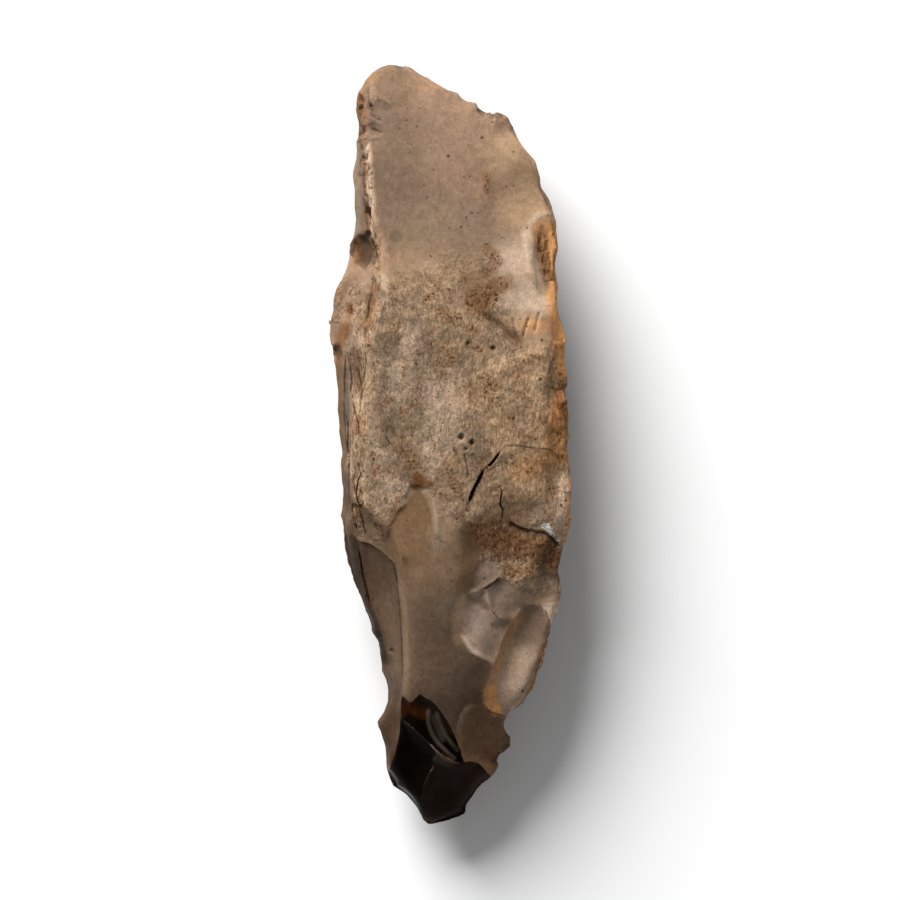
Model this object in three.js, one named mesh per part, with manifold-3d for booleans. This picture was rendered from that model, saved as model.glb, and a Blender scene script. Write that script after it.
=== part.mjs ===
// A knapped flint pick, in millimetres, lying on its flat underside as it does on a table.
// +Y runs from the tip to the butt, +X to the right seen from above, +Z up.
// The stone is one piece. It starts as a rough blank, lofted from cross-sections, and every
// flake scar is then struck off it with a shallow dish, as a knapper takes flakes off a block.
import * as THREE from "three";
import { mergeVertices } from "three/addons/utils/BufferGeometryUtils.js";
import Module from "manifold-3d";

// Driving dimensions.
const LENGTH = 172;
const WIDTH = 54.8;
const THICKNESS = 37;

// How far the blank's flats belly out between their corners.
const FLAT_BELLY = 0.7;
// Low swells left by the natural skin of the nodule.
const SWELL_HEIGHT = 0.3;
const SWELL_PITCH = 38;
// Longest step between two cross-sections.
const STATION_STEP = 4.5;

const FLINT_COLOUR = 0x9b8672;

// Every table below reads from the tip (along 0) to the butt (along 1).
// Edges and ridges are shares of the width, from the centre line; heights are shares of the thickness.
const LEFT_EDGE_SHARES = [
  [0.0, -0.1], [0.012, -0.118], [0.024, -0.141], [0.05, -0.218], [0.058, -0.24], [0.073, -0.266],
  [0.1, -0.274], [0.127, -0.291], [0.152, -0.27], [0.177, -0.26], [0.206, -0.272], [0.229, -0.301],
  [0.253, -0.321], [0.283, -0.35], [0.316, -0.387], [0.348, -0.425], [0.382, -0.441], [0.43, -0.447],
  [0.465, -0.447], [0.498, -0.45], [0.545, -0.467], [0.588, -0.47], [0.627, -0.472], [0.648, -0.486],
  [0.664, -0.5], [0.697, -0.48], [0.711, -0.456], [0.735, -0.43], [0.763, -0.402], [0.805, -0.389],
  [0.858, -0.397], [0.928, -0.385], [0.957, -0.392], [0.97, -0.38], [0.985, -0.345],
  [1.0, -0.285],
];
const RIGHT_EDGE_SHARES = [
  [0.0, -0.06], [0.012, 0.045], [0.024, 0.079], [0.049, 0.112], [0.057, 0.137], [0.065, 0.158],
  [0.08, 0.19], [0.096, 0.208], [0.106, 0.235], [0.114, 0.257], [0.133, 0.237], [0.145, 0.243],
  [0.152, 0.27], [0.16, 0.302], [0.195, 0.36], [0.235, 0.397], [0.265, 0.421], [0.291, 0.45],
  [0.308, 0.455], [0.337, 0.446], [0.364, 0.468], [0.393, 0.492], [0.433, 0.5], [0.453, 0.497],
  [0.475, 0.486], [0.502, 0.484], [0.545, 0.491], [0.58, 0.483], [0.603, 0.475], [0.64, 0.455],
  [0.686, 0.446], [0.735, 0.435], [0.762, 0.438], [0.796, 0.426], [0.818, 0.409], [0.841, 0.372],
  [0.859, 0.364], [0.88, 0.335], [0.9, 0.289], [0.926, 0.241], [0.937, 0.21], [0.943, 0.153],
  [0.951, 0.099], [0.955, 0.066], [0.968, 0.012], [0.975, -0.041], [0.985, -0.11],
  [1.0, -0.17],
];
// The long arris between the broad upper face and the steep left side.
const RIDGE_SHARES = [
  [0.0, -0.09], [0.05, -0.19], [0.08, -0.24], [0.11, -0.23], [0.15, -0.205], [0.2, -0.197],
  [0.25, -0.196], [0.3, -0.21], [0.35, -0.28], [0.38, -0.352], [0.43, -0.366], [0.5, -0.366],
  [0.56, -0.352], [0.6, -0.36], [0.66, -0.32], [0.74, -0.295], [0.8, -0.315], [0.86, -0.333],
  [0.93, -0.345], [0.97, -0.345], [0.99, -0.31], [1.0, -0.26],
];
const SHOULDER_SHARES = [
  [0.0, -0.075], [0.03, 0.05], [0.08, 0.11], [0.12, 0.17], [0.2, 0.26], [0.28, 0.34], [0.36, 0.39],
  [0.45, 0.41], [0.6, 0.395], [0.75, 0.365], [0.82, 0.34], [0.88, 0.27], [0.93, 0.16], [0.96, 0.02],
  [0.985, -0.13], [1.0, -0.19],
];
const RIDGE_HEIGHT_SHARES = [
  [0.0, 0.35], [0.03, 0.47], [0.08, 0.59], [0.15, 0.74], [0.25, 0.87], [0.38, 0.94], [0.55, 0.96],
  [0.7, 0.93], [0.85, 0.86], [0.95, 0.77], [1.0, 0.64],
];
const CROWN_HEIGHT_SHARES = [
  [0.0, 0.36], [0.03, 0.5], [0.08, 0.63], [0.15, 0.78], [0.25, 0.9], [0.38, 0.98], [0.5, 1.0],
  [0.62, 0.985], [0.75, 0.94], [0.88, 0.85], [0.96, 0.75], [1.0, 0.64],
];
const SHOULDER_HEIGHT_SHARES = [
  [0.0, 0.35], [0.03, 0.45], [0.08, 0.54], [0.15, 0.64], [0.25, 0.72], [0.38, 0.79], [0.5, 0.83],
  [0.65, 0.84], [0.8, 0.8], [0.92, 0.74], [1.0, 0.62],
];
const LEFT_HEIGHT_SHARES = [
  [0.0, 0.29], [0.06, 0.33], [0.15, 0.36], [0.3, 0.38], [0.42, 0.4], [0.62, 0.46], [0.67, 0.45],
  [0.75, 0.4], [0.9, 0.4], [1.0, 0.46],
];
const RIGHT_HEIGHT_SHARES = [
  [0.0, 0.31], [0.06, 0.38], [0.15, 0.5], [0.28, 0.58], [0.45, 0.63], [0.65, 0.66], [0.8, 0.66],
  [0.93, 0.65], [1.0, 0.56],
];
// The sole is the flat underside; its corners lie this share of the local width inside each edge.
const LEFT_SOLE_SHARES = [
  [0.0, 0.3], [0.1, 0.3], [0.3, 0.2], [0.62, 0.2], [0.8, 0.14], [1.0, 0.2],
];
const RIGHT_SOLE_SHARES = [
  [0.0, 0.3], [0.1, 0.32], [0.3, 0.24], [0.5, 0.16], [0.8, 0.12], [0.93, 0.14], [1.0, 0.2],
];
const SOLE_HEIGHT_SHARES = [
  [0.0, 0.22], [0.05, 0.13], [0.11, 0.04], [0.17, 0.0], [0.9, 0.0], [0.95, 0.05], [1.0, 0.24],
];

// Points on each flat of a cross-section, from one corner to the next.
const SOLE_STEPS = 3;
const RIGHT_UNDER_STEPS = 2;
const RIGHT_UPPER_STEPS = 3;
const FACE_STEPS = 4;
const LEFT_UPPER_STEPS = 3;
const LEFT_UNDER_STEPS = 2;

// The dish that strikes a flake: a bowl of unit radius and depth, carried on well past its rim.
const DISH_SIDES = 14;
const DISH_RADII = [0, 0.5, 1, 1.5, 2.4, 5];
// How far inside the outline the centre of an edge scar is held.
const EDGE_INSET_SHARE = 0.004;

// Flake scars: place on the face, lean of the scar's outward direction over the face's two
// directions, turn of its long axis as a share of a full turn, half breadth and half length
// as shares of the width, and depth as a share of the thickness.
// On the upper and under faces a place is [across, along]; on the sides it is [up, along].
const UPPER_SCAR_SHARES = [
  // Butt: two side-struck notches under the nose, and nibbling along the slanted edge.
  [-0.33, 0.925, -0.4, -0.1, 0.23, 0.055, 0.11, 0.03],
  [-0.34, 0.905, -0.4, 0.1, 0.24, 0.05, 0.1, 0.028],
  [-0.375, 0.955, -0.9, 0.5, 0.1, 0.05, 0.075, 0.03],
  [0.06, 0.962, 0.4, 0.7, 0.33, 0.05, 0.08, 0.015],
  [0.17, 0.943, 0.35, 0.8, 0.28, 0.055, 0.06, 0.02],
  [0.26, 0.92, 0.5, 0.5, 0.35, 0.045, 0.07, 0.018],
  [0.36, 0.835, 0.26, 0.03, 0.3, 0.1, 0.13, 0.012],
  // Right edge: the stained hollow, the smooth shallow scar and the edge facets below it.
  [0.405, 0.752, 0.5, 0.0, 0.01, 0.075, 0.17, 0.04],
  [0.33, 0.682, 0.22, -0.03, 0.06, 0.13, 0.19, 0.018],
  [0.46, 0.565, 0.7, 0.1, 0.0, 0.065, 0.11, 0.02],
  [0.46, 0.485, 0.7, -0.05, 0.0, 0.07, 0.16, 0.02],
  // Lower right: the hollow under the step, then the broad scars struck in from the edge.
  [0.31, 0.344, 0.3, 0.12, 0.26, 0.17, 0.24, 0.045],
  [0.44, 0.3, 0.5, 0.1, 0.96, 0.07, 0.12, 0.02],
  [0.24, 0.298, 0.26, 0.02, 0.97, 0.09, 0.17, 0.035],
  [0.14, 0.262, 0.12, -0.05, 0.94, 0.14, 0.2, 0.035],
  [0.31, 0.213, 0.36, -0.12, 0.936, 0.15, 0.29, 0.045],
  [0.17, 0.116, 0.4, -0.4, 0.03, 0.14, 0.2, 0.04],
  // Tip: the dark facets that make the point.
  [-0.157, 0.085, -0.15, -0.5, 0.02, 0.14, 0.25, 0.05],
  [-0.05, 0.135, 0.08, -0.35, 0.1, 0.11, 0.19, 0.03],
  [0.0, 0.041, 0.15, -0.75, 0.0, 0.16, 0.18, 0.045],
  [0.11, 0.075, 0.7, -0.5, 0.04, 0.08, 0.13, 0.015],
  // Middle: the polished scoop, and the furrow beside the crack.
  [-0.124, 0.403, 0.0, -0.03, 0.03, 0.12, 0.19, 0.014],
  [0.037, 0.48, 0.1, 0.05, 0.07, 0.045, 0.12, 0.012],
];
const LEFT_SCAR_SHARES = [
  // Upper half: a blade scar down the side, the deep hollow below it and the bulge's facets.
  [0.62, 0.88, 0.12, 0.0, 0.0, 0.17, 0.25, 0.03],
  [0.66, 0.762, 0.45, 0.1, 0.02, 0.12, 0.16, 0.055],
  [0.78, 0.7, 0.8, 0.3, 0.06, 0.15, 0.14, 0.03],
  [0.76, 0.625, 0.5, -0.2, 0.95, 0.13, 0.13, 0.022],
  // Waist: two long narrow blade scars side by side.
  [0.76, 0.53, 0.3, 0.0, 0.01, 0.09, 0.34, 0.02],
  [0.58, 0.45, 0.2, 0.0, 0.99, 0.08, 0.27, 0.016],
  // Lower half: the broad smooth blade scar that runs to the neck, and the neck itself.
  [0.7, 0.245, 0.9, 0.0, 0.01, 0.15, 0.2, 0.032],
  [0.54, 0.15, 0.4, 0.0, 0.02, 0.13, 0.2, 0.025],
  [0.44, 0.075, 0.45, -0.3, 0.05, 0.11, 0.13, 0.015],
  // Under the edge.
  [0.12, 0.9, -0.6, 0.1, 0.0, 0.15, 0.24, 0.03],
  [0.16, 0.77, -0.5, 0.05, 0.05, 0.17, 0.2, 0.035],
  [0.09, 0.65, -0.65, 0.1, 0.94, 0.17, 0.19, 0.04],
  [0.17, 0.54, -0.5, -0.1, 0.03, 0.15, 0.26, 0.03],
  [0.12, 0.41, -0.6, 0.0, 0.02, 0.16, 0.24, 0.035],
  [0.15, 0.29, -0.5, 0.05, 0.97, 0.13, 0.22, 0.03],
];
const RIGHT_SCAR_SHARES = [
  [0.25, 0.89, -0.2, 0.45, 0.04, 0.18, 0.2, 0.03],
  [0.2, 0.78, -0.4, 0.1, 0.0, 0.21, 0.22, 0.04],
  [0.28, 0.66, -0.35, 0.0, 0.05, 0.2, 0.19, 0.035],
  [0.2, 0.55, -0.45, 0.05, 0.96, 0.18, 0.24, 0.04],
  [0.26, 0.43, -0.4, -0.05, 0.03, 0.19, 0.2, 0.035],
  [0.2, 0.31, -0.45, 0.0, 0.0, 0.17, 0.22, 0.035],
  [0.25, 0.2, -0.5, -0.3, 0.96, 0.14, 0.2, 0.03],
];
const UNDER_SCAR_SHARES = [
  [-0.33, 0.84, -0.45, 0.05, 0.2, 0.13, 0.18, 0.025],
  [-0.41, 0.69, -0.4, 0.0, 0.29, 0.12, 0.2, 0.03],
  [-0.38, 0.5, -0.45, 0.05, 0.23, 0.14, 0.18, 0.03],
  [-0.33, 0.36, -0.4, -0.05, 0.27, 0.1, 0.18, 0.025],
  [0.34, 0.86, 0.4, 0.12, 0.21, 0.13, 0.16, 0.025],
  [0.42, 0.71, 0.38, 0.0, 0.28, 0.14, 0.18, 0.03],
  [0.42, 0.53, 0.42, 0.0, 0.22, 0.12, 0.2, 0.03],
  [0.38, 0.37, 0.4, -0.05, 0.28, 0.13, 0.16, 0.03],
  [-0.02, 0.965, 0.05, 0.5, 0.02, 0.16, 0.12, 0.03],
  [-0.17, 0.14, -0.3, -0.3, 0.08, 0.12, 0.22, 0.03],
  [0.09, 0.12, 0.3, -0.3, 0.93, 0.13, 0.24, 0.035],
  [-0.04, 0.05, 0.0, -0.6, 0.0, 0.11, 0.16, 0.025],
];

const wasm = await Module();
wasm.setup();

// Reads a table at a place along the stone, on a smooth curve that never overshoots its rows.
function read(table, along) {
  const last = table.length - 1;
  const slope = (i) => (table[i + 1][1] - table[i][1]) / (table[i + 1][0] - table[i][0]);
  const tangent = (i) => {
    if (i === 0 || i === last) return 0;
    const before = slope(i - 1);
    const after = slope(i);
    return before * after <= 0 ? 0 : (2 * before * after) / (before + after);
  };
  let i = 0;
  while (i < last - 1 && along > table[i + 1][0]) i += 1;
  const gap = table[i + 1][0] - table[i][0];
  const t = THREE.MathUtils.clamp((along - table[i][0]) / gap, 0, 1);
  const [a, b] = [table[i][1], table[i + 1][1]];
  const [ta, tb] = [tangent(i) * gap, tangent(i + 1) * gap];
  return a + t * ta + t * t * (3 * (b - a) - 2 * ta - tb) + t ** 3 * (2 * (a - b) + ta + tb);
}

// A flat from one corner towards the next, with its belly; the next corner is left to the next flat.
function flat(from, to, steps, belly) {
  const out = new THREE.Vector2(to.y - from.y, from.x - to.x).normalize();
  return Array.from({ length: steps }, (_, i) => {
    const t = i / steps;
    return from.clone().lerp(to, t).addScaledVector(out, belly * 4 * t * (1 - t));
  });
}

// One cross-section, anticlockwise seen with +X to the right and +Z up.
function sectionAt(along) {
  const left = read(LEFT_EDGE_SHARES, along) * WIDTH;
  const right = read(RIGHT_EDGE_SHARES, along) * WIDTH;
  const span = right - left;
  const inside = (table) => THREE.MathUtils.clamp(read(table, along) * WIDTH, left, right);
  const height = (table) => read(table, along) * THICKNESS;
  const sole = height(SOLE_HEIGHT_SHARES);
  const ridge = new THREE.Vector2(inside(RIDGE_SHARES), height(RIDGE_HEIGHT_SHARES));
  const shoulder = new THREE.Vector2(
    Math.max(inside(SHOULDER_SHARES), ridge.x),
    height(SHOULDER_HEIGHT_SHARES),
  );
  const crown = new THREE.Vector2((ridge.x + shoulder.x) / 2, height(CROWN_HEIGHT_SHARES));
  const leftEdge = new THREE.Vector2(left, height(LEFT_HEIGHT_SHARES));
  const rightEdge = new THREE.Vector2(right, height(RIGHT_HEIGHT_SHARES));
  const leftSole = new THREE.Vector2(left + read(LEFT_SOLE_SHARES, along) * span, sole);
  const rightSole = new THREE.Vector2(right - read(RIGHT_SOLE_SHARES, along) * span, sole);
  const belly = FLAT_BELLY * Math.min(1, span / (WIDTH / 2));
  return [
    ...flat(leftSole, rightSole, SOLE_STEPS, 0),
    ...flat(rightSole, rightEdge, RIGHT_UNDER_STEPS, belly),
    ...flat(rightEdge, shoulder, RIGHT_UPPER_STEPS, belly),
    ...flat(shoulder, crown, FACE_STEPS, belly / 2),
    ...flat(crown, ridge, FACE_STEPS, belly / 2),
    ...flat(ridge, leftEdge, LEFT_UPPER_STEPS, belly),
    ...flat(leftEdge, leftSole, LEFT_UNDER_STEPS, belly),
  ];
}

// Lifts the upper face in low swells; the sole and the edges stay where they are.
function swell(x, y, z) {
  const upper = THREE.MathUtils.smoothstep(z, THICKNESS / 2, THICKNESS);
  const turn = (2 * Math.PI) / SWELL_PITCH;
  const wave = Math.sin(x * turn + 1.3) * Math.cos(y * turn * 0.8) + Math.sin((x + y) * turn * 1.7);
  return SWELL_HEIGHT * upper * wave;
}

// Places along the stone that get a cross-section: every row of both edges, and even steps between.
function stations() {
  const rows = [...LEFT_EDGE_SHARES, ...RIGHT_EDGE_SHARES].map(([along]) => along);
  const wanted = [...new Set(rows)].sort((a, b) => a - b);
  const closest = STATION_STEP / LENGTH / 2.5;
  const kept = [0];
  wanted.forEach((s) => {
    if (s - kept.at(-1) > closest && 1 - s > closest) kept.push(s);
  });
  kept.push(1);
  return kept.flatMap((s, i) => {
    if (i === kept.length - 1) return [s];
    const gap = kept[i + 1] - s;
    const parts = Math.max(1, Math.ceil((gap * LENGTH) / STATION_STEP));
    return Array.from({ length: parts }, (_, k) => s + (gap * k) / parts);
  });
}

function blankGeometry() {
  const rings = stations().map((along) => {
    const y = (along - 1 / 2) * LENGTH;
    return sectionAt(along).map((p) => [p.x, y, p.y + swell(p.x, y, p.y)]);
  });
  const sides = rings[0].length;
  const middle = (ring) => [0, 1, 2].map((k) => ring.reduce((sum, p) => sum + p[k], 0) / sides);
  const points = [...rings.flat(), middle(rings[0]), middle(rings.at(-1))];
  const tipCentre = rings.length * sides;
  const buttCentre = tipCentre + 1;
  const index = [];
  rings.forEach((_, r) => {
    for (let s = 0; s < sides; s += 1) {
      const next = (s + 1) % sides;
      const [a, b] = [r * sides + s, r * sides + next];
      if (r === 0) index.push(tipCentre, a, b);
      if (r === rings.length - 1) index.push(buttCentre, b, a);
      else index.push(a, a + sides, b, b, a + sides, b + sides);
    }
  });
  const geometry = new THREE.BufferGeometry();
  geometry.setAttribute("position", new THREE.Float32BufferAttribute(points.flat(), 3));
  geometry.setIndex(index);
  return geometry;
}

function dishGeometry() {
  const bowl = DISH_RADII.map((r) => new THREE.Vector2(r, r * r - 1));
  const lid = new THREE.Vector2(0, bowl.at(-1).y);
  return new THREE.LatheGeometry([...bowl, lid], DISH_SIDES);
}

// A closed mesh as a solid, with shared vertices merged and collapsed triangles dropped.
function solidOf(geometry) {
  const bare = geometry.clone();
  bare.deleteAttribute("normal");
  bare.deleteAttribute("uv");
  const merged = mergeVertices(bare);
  const faces = merged.index.array;
  const kept = [];
  for (let i = 0; i < faces.length; i += 3) {
    const [a, b, c] = faces.slice(i, i + 3);
    if (a !== b && b !== c && c !== a) kept.push(a, b, c);
  }
  const mesh = new wasm.Mesh({
    numProp: 3,
    vertProperties: merged.attributes.position.array,
    triVerts: new Uint32Array(kept),
  });
  return new wasm.Manifold(mesh);
}

function geometryOf(solid) {
  const { vertProperties, triVerts } = solid.getMesh();
  const geometry = new THREE.BufferGeometry();
  geometry.setAttribute("position", new THREE.BufferAttribute(vertProperties, 3));
  geometry.setIndex(new THREE.BufferAttribute(triVerts, 1));
  return geometry;
}

const X = new THREE.Vector3(1, 0, 0);
const Y = new THREE.Vector3(0, 1, 0);
const Z = new THREE.Vector3(0, 0, 1);
// The four ways of looking at the stone: the way out of it, and how a place on it is written.
// A scar struck on the edge itself is held a hair inside the outline.
const acrossPlace = (across, along) => {
  const left = read(LEFT_EDGE_SHARES, along) + EDGE_INSET_SHARE;
  const right = read(RIGHT_EDGE_SHARES, along) - EDGE_INSET_SHARE;
  return [THREE.MathUtils.clamp(across, left, right) * WIDTH, (along - 1 / 2) * LENGTH, THICKNESS / 2];
};
const upPlace = (up, along) => [0, (along - 1 / 2) * LENGTH, up * THICKNESS];
const FACES = [
  { out: Z, first: X, place: acrossPlace, scars: UPPER_SCAR_SHARES },
  { out: Z.clone().negate(), first: X, place: acrossPlace, scars: UNDER_SCAR_SHARES },
  { out: X.clone().negate(), first: Z, place: upPlace, scars: LEFT_SCAR_SHARES },
  { out: X, first: Z, place: upPlace, scars: RIGHT_SCAR_SHARES },
];

// The matrix that carries the unit dish onto the blank's skin at one scar.
function scarMatrix(face, scar, blank) {
  const [u, along, leanFirst, leanAlong, turn, halfBreadth, halfLength, depth] = scar;
  const start = new THREE.Vector3(...face.place(u, along));
  start.addScaledVector(face.out, LENGTH);
  const ray = new THREE.Raycaster(start, face.out.clone().negate());
  const hit = ray.intersectObject(blank)[0];
  if (!hit) throw new Error("a flake scar misses the stone at " + [u, along]);
  const up = face.out.clone().addScaledVector(face.first, leanFirst).addScaledVector(Y, leanAlong);
  up.normalize();
  const long = Y.clone().applyAxisAngle(face.out, turn * 2 * Math.PI).projectOnPlane(up).normalize();
  const broad = new THREE.Vector3().crossVectors(up, long);
  const matrix = new THREE.Matrix4().makeBasis(
    broad.multiplyScalar(halfBreadth * WIDTH),
    up.multiplyScalar(depth * THICKNESS),
    long.multiplyScalar(halfLength * WIDTH),
  );
  return matrix.setPosition(hit.point);
}

function knappedStone() {
  const blank = new THREE.Mesh(blankGeometry(), new THREE.MeshBasicMaterial({ side: THREE.DoubleSide }));
  blank.updateMatrixWorld(true);
  const dish = dishGeometry();
  let stone = solidOf(blank.geometry);
  for (const face of FACES) {
    for (const scar of face.scars) {
      stone = stone.subtract(solidOf(dish.clone().applyMatrix4(scarMatrix(face, scar, blank))));
    }
  }
  // Crumbs that the scars leave beside the stone are swept away.
  const bodies = stone.decompose().sort((a, b) => b.volume() - a.volume());
  return geometryOf(bodies[0]);
}

function flintPick() {
  const geometry = knappedStone();
  geometry.computeVertexNormals();
  geometry.computeBoundingBox();
  const { min, max } = geometry.boundingBox;
  const material = new THREE.MeshStandardMaterial({ color: FLINT_COLOUR, roughness: 0.6, metalness: 0 });
  const mesh = new THREE.Mesh(geometry, material);
  mesh.name = "flint_pick";
  mesh.position.set(-(min.x + max.x) / 2, -(min.y + max.y) / 2, -min.z);
  return mesh;
}

const part = new THREE.Group();
part.add(flintPick());
export default part;
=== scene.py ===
import math
from collections import namedtuple

import bmesh
import bpy
import numpy as np
from bpy.props import FloatProperty, FloatVectorProperty, IntProperty, PointerProperty
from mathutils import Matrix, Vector
from mathutils.kdtree import KDTree


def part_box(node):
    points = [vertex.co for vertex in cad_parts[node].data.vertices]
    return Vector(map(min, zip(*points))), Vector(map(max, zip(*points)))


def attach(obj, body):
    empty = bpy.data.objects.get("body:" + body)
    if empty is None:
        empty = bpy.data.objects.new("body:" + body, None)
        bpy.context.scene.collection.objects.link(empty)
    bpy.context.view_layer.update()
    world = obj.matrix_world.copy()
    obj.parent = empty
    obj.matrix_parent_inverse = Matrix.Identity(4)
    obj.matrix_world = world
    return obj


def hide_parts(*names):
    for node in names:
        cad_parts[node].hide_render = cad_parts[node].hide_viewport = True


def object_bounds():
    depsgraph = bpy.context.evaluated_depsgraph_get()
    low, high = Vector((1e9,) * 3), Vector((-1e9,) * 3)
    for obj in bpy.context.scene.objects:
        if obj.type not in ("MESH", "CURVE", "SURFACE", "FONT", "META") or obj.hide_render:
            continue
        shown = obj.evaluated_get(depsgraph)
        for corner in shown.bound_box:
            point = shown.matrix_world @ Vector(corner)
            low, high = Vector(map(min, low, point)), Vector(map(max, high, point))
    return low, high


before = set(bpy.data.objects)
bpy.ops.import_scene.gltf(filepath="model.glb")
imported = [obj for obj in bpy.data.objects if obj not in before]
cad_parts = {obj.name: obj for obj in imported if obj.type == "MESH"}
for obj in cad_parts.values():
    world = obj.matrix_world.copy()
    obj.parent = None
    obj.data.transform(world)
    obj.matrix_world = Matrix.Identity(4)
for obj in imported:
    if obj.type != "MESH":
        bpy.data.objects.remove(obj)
CAD_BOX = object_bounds()

bl_info = {
    "name": "Flint pick",
    "version": (1, 0, 0),
    "blender": (4, 5, 0),
    "location": "View3D > Sidebar > Flint pick",
    "description": "Dresses the knapped flint pick and sets up a plain studio round it",
    "category": "Object",
}

MM = 0.001
CAD_NODE = "flint_pick"
PIECE_NAME = "flint_pick_stone"

# The plan is a drawing of the stone seen from above, on a grid in which it is PLAN_SPAN units long.
# x runs to the right from the left of the sheet, y runs down the sheet, and the point is at the bottom.
PLAN_SPAN = 759.0
PLAN_CENTRE = (450.0, 446.5)

# ---------------------------------------------------------------------------
# Relief. Every row is in plan units, except depths and heights, which are in millimetres.
# ---------------------------------------------------------------------------

# The outline seen from above, clockwise from the left of the butt.
OUTLINE = (
    (378, 69), (384, 67), (390, 66.5), (396, 67), (403, 67.5), (411, 70), (422, 78), (431, 82.5), (440, 86),
    (446, 89.5), (453, 91), (460, 96.5), (466, 102), (469, 102), (475, 104), (481, 110), (487, 113.5), (491, 112.5),
    (495, 111.5), (500, 114), (503, 116), (508, 123), (511, 129), (515, 136), (520, 143), (526, 150.5), (531, 158),
    (535, 166), (538, 174), (539.5, 181), (540, 188), (545, 197), (549, 205), (552, 214), (553.5, 222), (554, 230),
    (556.5, 240), (556, 255), (555, 268), (556, 287), (558, 305), (559.5, 322), (560, 340), (563, 355), (565, 368),
    (567, 378), (567.5, 386), (564.5, 391), (567, 398), (569, 412), (567.5, 428), (567.5, 445), (569.5, 462),
    (570, 482), (571, 497), (570.5, 513), (568.5, 530), (565.5, 541), (562, 550), (559, 560), (558, 571),
    (560, 581), (560.5, 592), (559, 605), (554.5, 617), (551, 627), (549, 638), (545.5, 650), (543.5, 658),
    (538, 669), (535, 682), (530, 691), (523, 704), (516, 709), (509, 715), (506, 719), (504.5, 727), (507, 734),
    (512, 738), (511.5, 742.5), (505.5, 746.5), (500.5, 750), (496, 756), (497.5, 764), (496, 772), (490, 778),
    (482, 784), (476.5, 790), (473.5, 798), (468, 805), (467, 812), (463, 817.5), (450, 822), (440, 825),
    (429, 826.5), (425, 823), (415.5, 808.5), (407, 798), (397, 788), (390.5, 780), (385, 770.5), (384.5, 761),
    (383.5, 748), (381, 738), (378.5, 729), (380, 720), (384, 711), (387, 700), (387, 690), (385.5, 678),
    (383, 668), (378, 654), (377, 644), (372, 634), (371, 627), (365, 611), (361, 600), (356, 587), (351.5, 575),
    (347, 562), (344.5, 550), (343, 537), (342.5, 520), (342, 500), (341.5, 475), (341, 448), (339, 430),
    (337, 412), (336, 397), (336, 380), (336.5, 365), (336, 352), (333, 343), (331.5, 334), (329, 322), (330, 315),
    (334, 297), (340, 286), (344, 275), (348, 263), (353, 247), (354.5, 231), (356, 215), (354.5, 196), (354, 175),
    (356, 150), (357.5, 125), (356, 112), (355, 100), (357, 91), (362, 85), (368, 78), (372, 73.5),
)

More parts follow.
